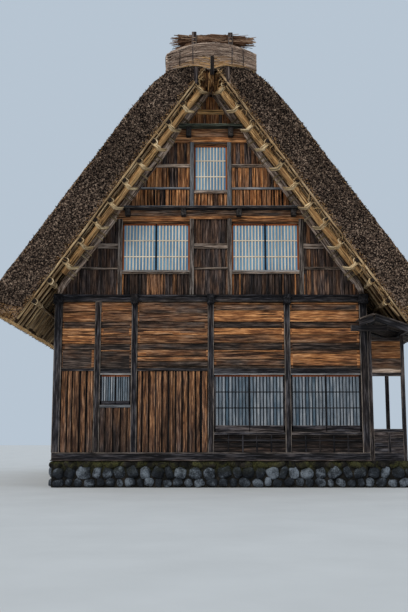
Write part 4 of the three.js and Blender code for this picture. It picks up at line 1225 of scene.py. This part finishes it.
# %% Lattice windows
def lattice_window(name, node, x0, x1, z0, z1, panels, bars, bar, crossings, upper, turn=0.0, y=-7.5, foot=0.21):
    """A window between two corners; an upper one is paler and has a lining board over its head."""
    lattice, pane = Pile(), Pile()
    front, back = y - 0.032, y + 0.03
    for x in (x0, x1 - RIM):
        board(lattice, (x, front, z0), (x + RIM if x == x0 else x1, back, z1), "z", 0.35 if upper else 1.0, 0.45,
              0.006, finish=2 if upper else 3)
    head = z1 - (0.075 if upper else 0.0)
    board(lattice, (x0, front, head - RIM), (x1, back, head), "x", 0.5, 0.45, 0.006, finish=2)
    if upper:
        board(lattice, (x0, front - 0.02, head), (x1, back, z1), "x", 0.2, 0.5, 0.006, finish=5)
        board(lattice, (x0, front - 0.03, z0), (x1, back, z0 + RIM), "x", 0.5, 0.62, 0.006, 0.6, finish=4)
    else:
        board(lattice, (x0, front, z0), (x1, back, z0 + foot), "x", 1.0, 0.62, 0.006, 0.6, finish=3)
    gap = 0.06 if upper else 0.036
    step = (x1 - x0 - RIM) / panels
    for k in range(panels):
        left = x0 + RIM / 2 + step * k + gap / 2
        right = left + step - gap
        if k:
            board(lattice, (left - gap, front, z0), (left, y + 0.02, z1), "z", 1.0, 0.05, 0.005, finish=3)
        pitch = (right - left) / (bars + (0.6 if upper else 0))
        for b in range(bars):
            x = left + pitch * (b + (0.8 if upper else 0.5))
            age = vary(0.0, 0.3) if upper else dice.betavariate(1.8, 1.6)
            board(lattice, (x - bar / 2, y - 0.022, z0 + 0.02), (x + bar / 2, y - 0.004, z1 - 0.02), "z",
                  age, vary(0.45, 0.6), 0.0, finish=0 if upper else 1)
        for share in crossings:
            z = z0 + (z1 - z0) * share
            if upper:
                board(lattice, (left, y - 0.026, z - 0.017), (right, y - 0.006, z + 0.017), "x", 0.1, 0.55, 0.0)
            else:
                board(lattice, (left, y - 0.03, z - 0.014), (right, y - 0.02, z + 0.014), "x", 1.0, 0.12, 0.0,
                      finish=3)
    board(pane, (x0 + RIM, y, z0 + RIM), (x1 - RIM, y + 0.008, z1 - RIM), "z", 0, 0.5, 0.0)
    hand_over(f"{name}_lattice", lattice, window_woods, node, angle=turn)
    hand_over(f"{name}_glass", pane, painted_sky_glass if upper else painted_dark_glass, angle=turn)


lattice_window("bay_2", "front_bay_2_window", -3.60, -2.60, 2.62, HEAD, 2, 6, 0.040, (), False, foot=0.13)
for turn, start, nodes in ((0.0, "bay", ("front_bay_4_window", "front_bay_5_window")),
                           (math.pi, "back", ("back_window_1", "back_window_2"))):
    for (x0, x1), node, number in zip(BAYS[3:], nodes, (4, 5)):
        lattice_window(f"{start}_{number}", node, x0, x1, 1.75, HEAD, 2, 10, 0.068, (0.42, 0.70), False, turn)
for turn, end_name in TURNS:
    for side, which in SIDES:
        x0, x1 = sorted((side * 0.70, side * 2.94))
        lattice_window(f"{end_name}_{which}_attic", f"{end_name}_gable_{which}_window", x0, x1, 7.01, 8.72, 2, 9,
                       0.041, (0.30, 0.62), True, turn)
    lattice_window(f"{end_name}_top_attic", f"{end_name}_gable_top_window", -0.56, 0.56, 9.76, 11.45, 1, 9,
                   0.041, (0.31, 0.64), True, turn)

# %% [markdown]
# ## Gable boarding
# The gable is closed by narrow upright boards between grey posts and rails, under two ledges with beam ends.
# Most boards are nearly black with smoke and rain; a few newer ones are orange. The upper row ends ragged above
# the ledge. The boards run a hand's breadth past the rafter line and hide behind the rafters.

# %% Boards, rails and backing between two heights
def reach(z):
    """Half the width of the gable at a height."""
    return (APEX - z) / ROOT2


def gable_uprights(pile, x0, x1, low, high, width, newer, shade, gap=0.012, ragged=0.0, fresh=1):
    """Narrow boards cut off at the rafter line; `newer` is the share of new ones, `fresh` their finish."""
    x = x0
    while x < x1 - 0.02:
        wide = width * vary(0.65, 1.35)
        if x1 - x - wide < width * 0.5:
            wide = x1 - x
        top = min(high, APEX - ROOT2 * abs(x + wide / 2) + 0.10)
        if top > low + 0.05:
            is_new = dice.random() < newer
            left, y = x + gap * dice.random(), FACE + vary(-0.006, 0.014)
            foot, right = low + ragged * dice.random(), x + wide - gap * dice.random()
            board(pile, (left, y, foot), (right, -7.462, top), "z",
                  vary(0.0, 0.3) if is_new else vary(0.6, 1.0),
                  shade + (0.12 if is_new else 0) + dice.gauss(0, 0.11), 0.006, 0.25,
                  finish=fresh if is_new else 1, fade=(vary(0, 0.2), -vary(0, 0.15)))
        x += wide


def rail(pile, x0, x1, low, high, age, shade, y=-7.592, finish=3):
    limit = reach(high) + 0.06
    x0, x1 = max(x0, -limit), min(x1, limit)
    if x1 - x0 > 0.1:
        board(pile, (x0, y, low), (x1, -7.50, high), "x", age, shade, 0.012, 0.5, finish=finish)


def shade_backing(pile, x0, x1, low, high, steps=1):
    """Near-black boards behind the gaps as painted shade, in steps that stay under the rafters."""
    for k in range(steps):
        z0, z1 = low + (high - low) * k / steps, low + (high - low) * (k + 1) / steps
        a, b = max(x0, -reach(z1)), min(x1, reach(z1))
        if b > a:
            board(pile, (a, -7.472, z0), (b, -7.45, z1), "z", 1.0, 0.03, 0.0, finish=2)


print("the gable is", round(2 * reach(6.0), 2), "m wide at the girt")


# %% The three storeys of the gable
LOWER_FIELDS = [(-5.0, -3.08), (-0.56, 0.56), (3.08, 5.0)]
WINDOW_FIELDS = [(-2.94, -0.70), (0.70, 2.94)]
UPPER_FIELDS = [(-2.95, -0.70), (0.70, 2.95)]
LOWER_FOOT, LEDGE_FOOT, UPPER_FOOT, HIGH_LEDGE_FOOT, TOP_FOOT = 6.23, 8.80, 9.165, 11.56, 12.01


def lower_gable(pile):
    for x0, x1 in LOWER_FIELDS:
        gable_uprights(pile, x0, x1, LOWER_FOOT, LEDGE_FOOT, 0.115, 0.07, 0.56)
        rail(pile, x0, x1, 7.79, 7.96, 0.55, 0.36)
        rail(pile, x0, x1, 7.085, 7.16, 0.6, 0.36)
    for x0, x1, newer, shade in ((-2.94, -2.12, 0.0, 0.22), (-2.12, -1.50, 1.0, 0.72), (-1.50, -1.12, 0.3, 0.45),
                                 (-1.12, -0.70, 0.0, 0.25), (0.70, 2.94, 0.16, 0.3)):
        gable_uprights(pile, x0, x1, LOWER_FOOT, 7.0, 0.11, newer, shade, 0.02)
    for x, shade in ((-2.915, 0.7), (0.735, 0.95), (0.96, 0.6), (2.80, 0.95), (3.10, 0.8), (-3.09, 0.6)):
        board(pile, (x - 0.02, -7.575, LOWER_FOOT), (x + 0.02, -7.50, 6.93), "z", 0.0, shade, 0.004)
    for x in (-3.01, -0.63, 0.63, 3.01):
        board(pile, (x - 0.07, -7.64, 6.225), (x + 0.07, -7.50, LEDGE_FOOT), "z", 1.0, 0.30, 0.022, 1.0,
              finish=3)
    for x0, x1 in WINDOW_FIELDS:
        board(pile, (x0, -7.60, 8.722), (x1, -7.45, LEDGE_FOOT), "x", 0.1, 0.95, 0.008)
        board(pile, (x0, -7.615, 6.935), (x1, -7.45, 7.008), "x", 0.5, 0.5, 0.012, 0.8, finish=3)
    for x0, x1 in LOWER_FIELDS:
        shade_backing(pile, x0, x1, LOWER_FOOT, LEDGE_FOOT, 6)
    for x0, x1 in WINDOW_FIELDS:
        shade_backing(pile, x0, x1, LOWER_FOOT, 6.95)


def upper_gable(pile):
    for x0, x1 in UPPER_FIELDS:
        # The new boards here take cedar at nearly full brightness: partly their own orange, partly painted light
        # against the shade of the overhang.
        gable_uprights(pile, x0, x1, UPPER_FOOT, 9.83, 0.125, 0.85, 0.92, 0.04, 0.09, 0)
        gable_uprights(pile, x0, x1, 9.895, 10.60, 0.12, 0.6, 0.92, 0.022, 0, 0)
        gable_uprights(pile, x0, x1, 10.70, HIGH_LEDGE_FOOT, 0.12, 0.45, 1.0)
        rail(pile, x0, x1, 10.60, 10.71, 0.4, 0.8)
        rail(pile, x0, x1, 9.83, 9.90, 0.9, 0.6, finish=5)
        shade_backing(pile, x0, x1, UPPER_FOOT, HIGH_LEDGE_FOOT, 6)
    gable_uprights(pile, -0.56, 0.56, UPPER_FOOT, 9.70, 0.12, 0.9, 0.95, 0.05, 0.12, 0)
    shade_backing(pile, -0.56, 0.56, UPPER_FOOT, 9.75)
    board(pile, (-0.56, -7.62, 9.69), (0.56, -7.45, 9.758), "x", 0.4, 0.66, 0.012, 0.5, finish=3)
    board(pile, (-0.56, -7.60, 11.452), (0.56, -7.45, HIGH_LEDGE_FOOT), "x", 0.5, 0.5, 0.01, finish=3)
    for x in (-0.63, 0.63):
        board(pile, (x - 0.07, -7.64, 9.162), (x + 0.07, -7.50, HIGH_LEDGE_FOOT), "z", 1.0, 0.26, 0.02, 0.9,
              finish=5)
    rail(pile, -1.5, 1.5, 11.465, 11.558, 0.1, 1.0, y=-7.65, finish=0)


def top_gable(pile):
    # Nearly all boards here are fresh cedar at full brightness, and the rail takes the golden log's finish:
    # partly their own orange and tan, partly painted light against the shade under the apex.
    gable_uprights(pile, -0.80, 0.80, TOP_FOOT, 13.12, 0.10, 0.9, 0.9, fresh=0)
    rail(pile, -0.6, 0.6, 12.48, 12.65, 0.0, 1.0, finish=6)
    shade_backing(pile, -0.80, 0.80, TOP_FOOT, 13.11, 5)


print("storeys from", LOWER_FOOT, "to", LEDGE_FOOT, "and from", UPPER_FOOT, "to", HIGH_LEDGE_FOOT)


# %% The two ledges
def ledge_shelf(pile, foot, top, noses, past, older, shelf_finish):
    """Three boards under a shelf, and the ends of beams; `past` is how far the shelf passes the rafters."""
    half = reach(top) + past
    for low, high, age, shade, y in ((foot, foot + 0.09, 0.15, 1.0, -7.64),
                                     (foot + 0.095, foot + (top - foot) * 0.55, older, 0.95, -7.655),
                                     (foot + (top - foot) * 0.555, top - 0.08, older + 0.05, 0.95, -7.66)):
        wide = reach(low) + 0.05
        board(pile, (-wide, y, low), (wide, -7.40, high), "x", age, shade, 0.012, 0.4)
    board(pile, (-half - 0.06, -7.95, top - 0.065), (half + 0.06, -7.40, top), "x", 0.95, 0.4, 0.014, 0.7,
          finish=shelf_finish)
    if not past:
        board(pile, (-half - 0.05, -7.962, top - 0.02), (half + 0.05, -7.93, top), "x", 0.9, 0.4, 0.006,
              finish=5)
    for x in noses:
        board(pile, (x - 0.09, -7.87, foot + 0.055), (x + 0.09, -7.60, top - 0.04), "y", 1.0, 0.14, 0.03, 0.25,
              finish=2)


def low_ledge(pile):
    ledge_shelf(pile, LEDGE_FOOT, 9.16, (-2.76, -0.90, 0.94, 2.76), 0.0, 0.7, 2)


def high_ledge(pile):
    ledge_shelf(pile, HIGH_LEDGE_FOOT, TOP_FOOT, (-0.74, 0.68), 0.17, 0.4, 4)


moss_wood = wood_finish(
    "mossy_ledge",
    [(0.2, (0.03, 0.035, 0.022)), (0.5, (0.09, 0.10, 0.065)), (0.8, (0.30, 0.34, 0.25))],
    [(0.2, (0.008, 0.009, 0.007)), (0.5, (0.045, 0.048, 0.034)), (0.8, (0.22, 0.25, 0.185))],
    pale=(0.40, 0.45, 0.34))
gable_finishes = [cedar, boards, weathered, silver, moss_wood, grey_board, golden_log]

for build, name, slot_name, node in (
        (lower_gable, "front_lower_gable_boards", "board_wood", "front_gable_lower_wall"),
        (upper_gable, "front_upper_gable_boards", "board_wood", "front_gable_upper_wall"),
        (top_gable, "front_top_gable_boards", "board_wood", "front_gable_top_boards"),
        (low_ledge, "front_ledge_beams", "dark_timber", "front_ledge"),
        (high_ledge, "front_high_ledge_beams", "dark_timber", "front_high_ledge")):
    pile = Pile()
    build(pile)
    hand_over(name, pile, gable_finishes, node)
pile = Pile()
for build in (lower_gable, upper_gable, top_gable, low_ledge, high_ledge):
    build(pile)
hand_over("back_gable_boards", pile, gable_finishes, "back_gable_wall", angle=math.pi)

# %% [markdown]
# ## Back and side walls
# The photograph shows only the front. The back repeats its frame with two lattice windows, and the long sides
# repeat the posts, rails and boards bay by bay, each with one window. They are built as if they faced the
# camera and then turned into place.

# %% Back wall
def under_window(pile, span, width, age, front):
    """Low boards and the rail on them, under a window of the back or the sides."""
    uprights(pile, span, SILL, 1.68, width, age, 0.42, front)
    board(pile, (span[0], front - 0.05, 1.67), (span[1], front + 0.11, 1.748), "x", 0.9, 0.5, 0.014, 0.6,
          finish=2)


plain_woods = [weathered, boards, weathered, silver]
pile = Pile()
end_timbers(pile)
for bay, rows in enumerate((BROWN_1, BROWN_2, BROWN_3, BROWN_3, BROWN_2)):
    planks(pile, BAYS[bay], rows)
    rail_over(pile, BAYS[bay])
    if bay < 3:
        uprights(pile, BAYS[bay], SILL, 3.60, 0.215, 0.45, 0.48)
    else:
        under_window(pile, BAYS[bay], 0.215, 0.7, FACE)
hand_over("back_siding", pile, plain_woods, "back_wall", angle=math.pi)


# %% Side walls
def side_siding(pile):
    front = -5.05
    for x in (-5.0, -2.5, 0.0, 2.5, 5.0):
        board(pile, (x - 0.1, -5.1, 1.09), (x + 0.1, -4.9, 5.90), "z", 0.95, 0.42, 0.028, 0.8, finish=2)
    board(pile, (-7.37, -5.12, PLINTH), (7.37, -4.88, SILL), "x", 0.95, 0.38, 0.03, 0.7, finish=2)
    spans = [(-7.37, -5.1), (-4.9, -2.6), (-2.4, -0.1), (0.1, 2.4), (2.6, 4.9), (5.1, 7.37)]
    for k, span in enumerate(spans):
        rows = [(low, min(high, 5.90), age, shade * 0.9, back)
                for low, high, age, shade, back in (BROWN_3 if k % 2 else BROWN_1)]
        planks(pile, span, rows, (), front)
        board(pile, (span[0], -5.078, HEAD), (span[1], -4.93, RAIL), "x", 1.0, 0.36, 0.012, 0.5, finish=2)
        if k == 3:
            under_window(pile, span, 0.21, 0.6, front)
        else:
            uprights(pile, span, SILL, 3.60, 0.215, 0.5, 0.46, front)


for side, name in SIDES:
    turn = side * math.pi / 2
    pile = Pile()
    side_siding(pile)
    hand_over(f"{name}_siding", pile, plain_woods, f"{name}_wall", angle=turn)
    lattice_window(f"{name}_side", f"{name}_window", 0.1, 2.4, 1.75, HEAD, 2, 10, 0.072, (0.44, 0.72), False,
                   turn, y=-5.0)

# %% [markdown]
# ## Stone plinth
# The house stands on rough field stones packed in earth, with moss on the top row. The core is a plain earth
# body a little behind the stones. Each stone is a small sphere, pushed towards a box and made lumpy with noise,
# and no two are alike. The lower rows of the front get finer stones than the sides, which are never seen close.

# %% Stone and earth
def stone_finish(name, tones, mossy):
    finish, tree, shader = new_finish(name, 0.92)
    place = place_on(tree)
    own_tone, _, _ = look_of(tree)
    coarse = speckle(tree, place, 3.5, 5.0, 0.6)
    fine = speckle(tree, place, 26.0, 5.0, 0.7)
    tone = sums(tree, "ADD", shares(tree, coarse, 0.55, fine),
                band_of(tree, own_tone, 0.0, 1.0, -0.09, 0.09), True)
    height = put(tree, "SeparateXYZ", {0: place}).outputs[2]
    patches = speckle(tree, place, 2.4, 4.0, 0.65)
    growth = sums(tree, "MULTIPLY", band_of(tree, height, 0.35, 0.80, -0.1, 1.15),
                  band_of(tree, patches, 0.42, 0.60), True)
    moss = ramp(tree, fine, (0.38, (0.016, 0.018, 0.006)), (0.62, (0.12, 0.115, 0.03)))
    paint(tree, shader, blend(tree, sums(tree, "MULTIPLY", growth, mossy), ramp(tree, tone, *tones), moss))
    relief(tree, shader, sums(tree, "ADD", coarse, fine), 0.03)
    return finish


field_stone = stone_finish("field_stone", [(0.36, (0.005, 0.006, 0.008)), (0.5, (0.026, 0.031, 0.038)),
                                           (0.64, (0.18, 0.205, 0.235))], 0.25)
# The earth is near black: partly its own colour, partly painted shade in the gaps between the stones.
earth = stone_finish("packed_earth_painted_shade", [(0.34, (0.002, 0.0018, 0.0015)), (0.5, (0.008, 0.007, 0.0055)),
                                      (0.66, (0.035, 0.029, 0.023))], 0.6)
PLINTH_TOP = 0.83
print("stone and earth finishes ready")


# %% Stones along the foot
def stone(pile, centre, half, fine):
    bm = pile.shape()
    verts = bmesh.ops.create_icosphere(bm, subdivisions=3 if fine else 2, radius=1.0)["verts"]
    shift = Vector((pile.made * 1.7, 0, 0))
    _, look = grain_and_look(bm)
    tone = dice.random()
    spin = Matrix.Rotation(vary(-0.5, 0.5), 3, "Y")
    for v in verts:
        squared = Vector([math.copysign(abs(c) ** 0.78, c) for c in v.co])
        lumps = 1 + 0.22 * noise.noise(v.co * 1.3 + shift) + 0.06 * noise.noise(v.co * 4.5 + shift)
        v.co = Vector(centre) + spin @ Vector([c * h * lumps * 0.93 for c, h in zip(squared, half)])
        v.co.z = clamp(v.co.z, 0.004, PLINTH_TOP - 0.001)
        v[look] = (tone, 0.5, 0.0)


def stone_row(pile, start, end, low, high, width, fine):
    """Stones from start to end, both (x, y), standing between two heights."""
    length = math.dist(start, end)
    ahead = Vector((end[0] - start[0], end[1] - start[1], 0)) / length
    went = 0.0
    while went < length - 0.05:
        wide = min(width * vary(0.7, 1.4), length - went)
        tall = (high - low) * vary(0.92, 1.12)
        centre = Vector((*start, 0)) + ahead * (went + wide / 2)
        half = Vector((wide / 2 - 0.012, 0.14, tall / 2))
        if abs(ahead.y) > 0.5:
            half = Vector((0.14, half.x, half.z))
        z = min(low + tall / 2 + vary(-0.02, 0.02), PLINTH_TOP - tall / 2)
        stone(pile, (centre.x, centre.y, z), half, fine)
        went += wide


core = Pile()
board(core, (-5.10, -7.60, 0.0), (5.10, 7.60, 0.828), "x", 0.5, 0.5, 0.02)
board(core, (5.0, -7.60, 0.0), (6.40, -4.90, 0.828), "x", 0.5, 0.5, 0.02)
hand_over("plinth_core", core, earth, "stone_plinth")
edge = [(-5.07, -7.57), (6.37, -7.57), (6.37, -4.93), (5.07, -4.93), (5.07, 7.57), (-5.07, 7.57), (-5.07, -7.57)]
stones, clods = Pile(), Pile()
for start, end in zip(edge, edge[1:]):
    at_front = start[1] == end[1] == -7.57
    stone_row(clods, start, end, 0.60, PLINTH_TOP, 0.40, False)
    stone_row(stones, start, end, 0.25, 0.67, 0.40, at_front)
    stone_row(stones, start, end, 0.02, 0.29, 0.31, at_front)
hand_over("plinth_stones", stones, field_stone, smooth=True)
hand_over("plinth_moss", clods, earth, smooth=True)

# %% [markdown]
# ## Lean-to and floors
# The lean-to at the front right corner is light carpentry: thin grey posts and rails, a boarded strip under the
# eave and a low boarded wall, all open between. Each timber is a box with its edges taken off, as on the house,
# because bare boxes would look like plastic.

# %% Lean-to
FALL, RIDGE_X = 0.33, 5.145   # the lean-to's roof falls both ways from this line
lean_to_woods = [cedar, boards, weathered, silver]


def roof_under(x):
    return 5.4 - FALL * abs(x - RIDGE_X)


def lean_to_frame(pile):
    for x in (5.195, 6.25):
        beam_top = roof_under(x + 0.06)
        for y in (-7.5, -5.1):
            board(pile, (x - 0.06, y - 0.06, PLINTH), (x + 0.06, y + 0.06, beam_top - 0.12), "z",
                  vary(0.6, 0.95), vary(0.5, 0.62), 0.014, 0.7, finish=2)
        board(pile, (x - 0.06, -8.55, beam_top - 0.142), (x + 0.06, -5.04, beam_top), "y", 0.95, 0.4, 0.012, 0.5,
              finish=2)
    eave_beam = roof_under(5.60)
    board(pile, (4.45, -8.45, eave_beam - 0.33), (5.60, -8.31, eave_beam - 0.142), "x", 0.9, 0.34, 0.016, 0.5,
          finish=2)
    for low, high, age, shade in ((4.70, 4.81, 0.4, 0.55), (3.55, 3.66, 0.9, 0.5), (1.74, 1.85, 0.85, 0.6),
                                  (PLINTH, SILL, 1.0, 0.42)):
        board(pile, (5.25, -7.56, low), (6.20, -7.44, high), "x", age, shade, 0.012, 0.5, finish=2)
    board(pile, (5.25, -5.16, 4.70), (6.20, -5.04, 4.81), "x", 0.6, 0.5, 0.012, 0.5, finish=2)


def lean_to_upper(pile):
    # A near-black board behind the strip: painted shade in its gaps.
    board(pile, (5.255, -7.47, 3.66), (6.19, -7.45, 4.70), "x", 1.0, 0.0, finish=2)
    for low, high, age, shade, kind in ((4.42, 4.70, 0.05, 0.66, 0), (4.13, 4.415, 0.35, 0.62, 0),
                                        (RAIL, 4.125, 0.9, 0.42, 0), (3.66, 3.795, 0.3, 0.6, 3)):
        board(pile, (5.255, FACE, low), (6.19, -7.45, high - 0.006), "x", age, shade, 0.01, 0.4, finish=kind)


def lean_to_low(pile):
    # A near-black board behind the low wall: painted shade in its gaps.
    board(pile, (5.255, -7.47, SILL), (6.19, -7.45, 1.74), "x", 1.0, 0.0, finish=2)
    for k in range(4):
        board(pile, (5.255, FACE, SILL + 0.16 * k), (6.19, -7.465, 1.252 + 0.16 * k), "x", vary(0.7, 1.0),
              vary(0.55, 0.8), 0.008, 0.4, finish=2)
    board(pile, (5.70, -7.58, SILL), (5.78, -7.53, 1.74), "z", 0.9, 0.55, 0.008, 0.5, finish=2)


for build, name, slot_name, node in ((lean_to_frame, "lean_to_frame", "grey_timber", "annex_frame"),
                                     (lean_to_upper, "lean_to_upper_boards", "plank_wood", "annex_upper_boards"),
                                     (lean_to_low, "lean_to_low_boards", "grey_timber", "annex_low_boards")):
    pile = Pile()
    build(pile)
    hand_over(name, pile, lean_to_woods, node)

# %% [markdown]
# The lean-to's roof is of wide boards side by side on three battens, with a fascia at the front. A board is
# easiest to make flat, so each one is made at the origin and then turned onto the slope.

# %% Lean-to roof
def roof_board(pile, x0, x1, y0, y1, lift, thick, age, shade, kind=2):
    """One roof board, made flat and then turned onto the slope about the direction of the eave."""
    middle = (x0 + x1) / 2
    fall = math.copysign(math.atan(FALL), middle - RIDGE_X)
    long = (x1 - x0) / math.cos(fall)
    verts = board(pile, (-long / 2, y0, 0), (long / 2, y1, thick), "x", age, shade, 0.006, 0.3, finish=kind)
    turn = Matrix.Translation((middle, 0, roof_under(middle) + lift)) @ Matrix.Rotation(fall, 4, "Y")
    bmesh.ops.transform(pile.lot, verts=verts, matrix=turn)


EAVE_LEFT, EAVE_RIGHT, ROOF_FRONT, ROOF_BACK = 4.70, 6.88, -8.70, -4.60
pile = Pile()
y = ROOF_FRONT
while y < ROOF_BACK - 0.02:
    top = min(y + vary(0.19, 0.25), ROOF_BACK)
    roof_board(pile, 5.15, EAVE_RIGHT, y, top - 0.008, 0.03, 0.028, vary(0.6, 1.0),
               vary(0.1, 0.4), 3)
    if y < -7.84:
        roof_board(pile, EAVE_LEFT, 5.14, y, min(top, -7.82) - 0.008, 0.03, 0.028, vary(0.6, 1.0),
                   vary(0.1, 0.4), 3)
    y = top
for y0, y1 in ((-8.70, -8.60), (-7.0, -6.9), (-5.4, -5.3)):
    roof_board(pile, 5.17, 6.86, y0, y1, 0.0, 0.03, 0.9, 0.35)
for x0, x1 in ((EAVE_LEFT, RIDGE_X), (RIDGE_X, EAVE_RIGHT)):
    roof_board(pile, x0, x1, -8.66, -8.62, -0.19, 0.19, 0.95, 0.30)
    roof_board(pile, x0, x1, -8.695, -8.64, 0.0, 0.055, 0.9, 0.42, 3)
hand_over("lean_to_roof_boards", pile, lean_to_woods, "annex_roof")

# %% [markdown]
# The floors are joined boards that show only through windows and the lean-to. The CAD pieces are right as they
# are, so their finish alone draws the boards, with a dark seam at every width of a board.

# %% Floors
FLOOR_BOARD = 0.24
floor_wood, tree, shader = new_finish("old_floor_boards", 0.7)
across, along, up = put(tree, "SeparateXYZ", {0: place_on(tree)}).outputs
counted = sums(tree, "MULTIPLY", across, 1 / FLOOR_BOARD)
drawn_out = sums(tree, "ADD", sums(tree, "MULTIPLY", along, 0.12),
                 sums(tree, "MULTIPLY", sums(tree, "FLOOR", counted), 3.7))
shifted = put(tree, "CombineXYZ", {0: across, 1: drawn_out, 2: up}).outputs[0]
figure = speckle(tree, shifted, 12.0, 4.0, 0.65)
seam = sums(tree, "ABSOLUTE", sums(tree, "SUBTRACT", sums(tree, "FRACT", counted), 0.5))
colour = ramp(tree, figure, (0.3, (0.055, 0.034, 0.022)), (0.5, (0.16, 0.105, 0.068)), (0.7, (0.30, 0.21, 0.14)))
paint(tree, shader, blend(tree, band_of(tree, seam, 0.475, 0.49), colour, (0.01, 0.007, 0.005)))
relief(tree, shader, figure, 0.01)
for node in ("floor_deck", "attic_floor", "upper_attic_floor"):
    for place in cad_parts[node].material_slots:
        place.material = floor_wood
    print(node, "keeps its CAD shape")
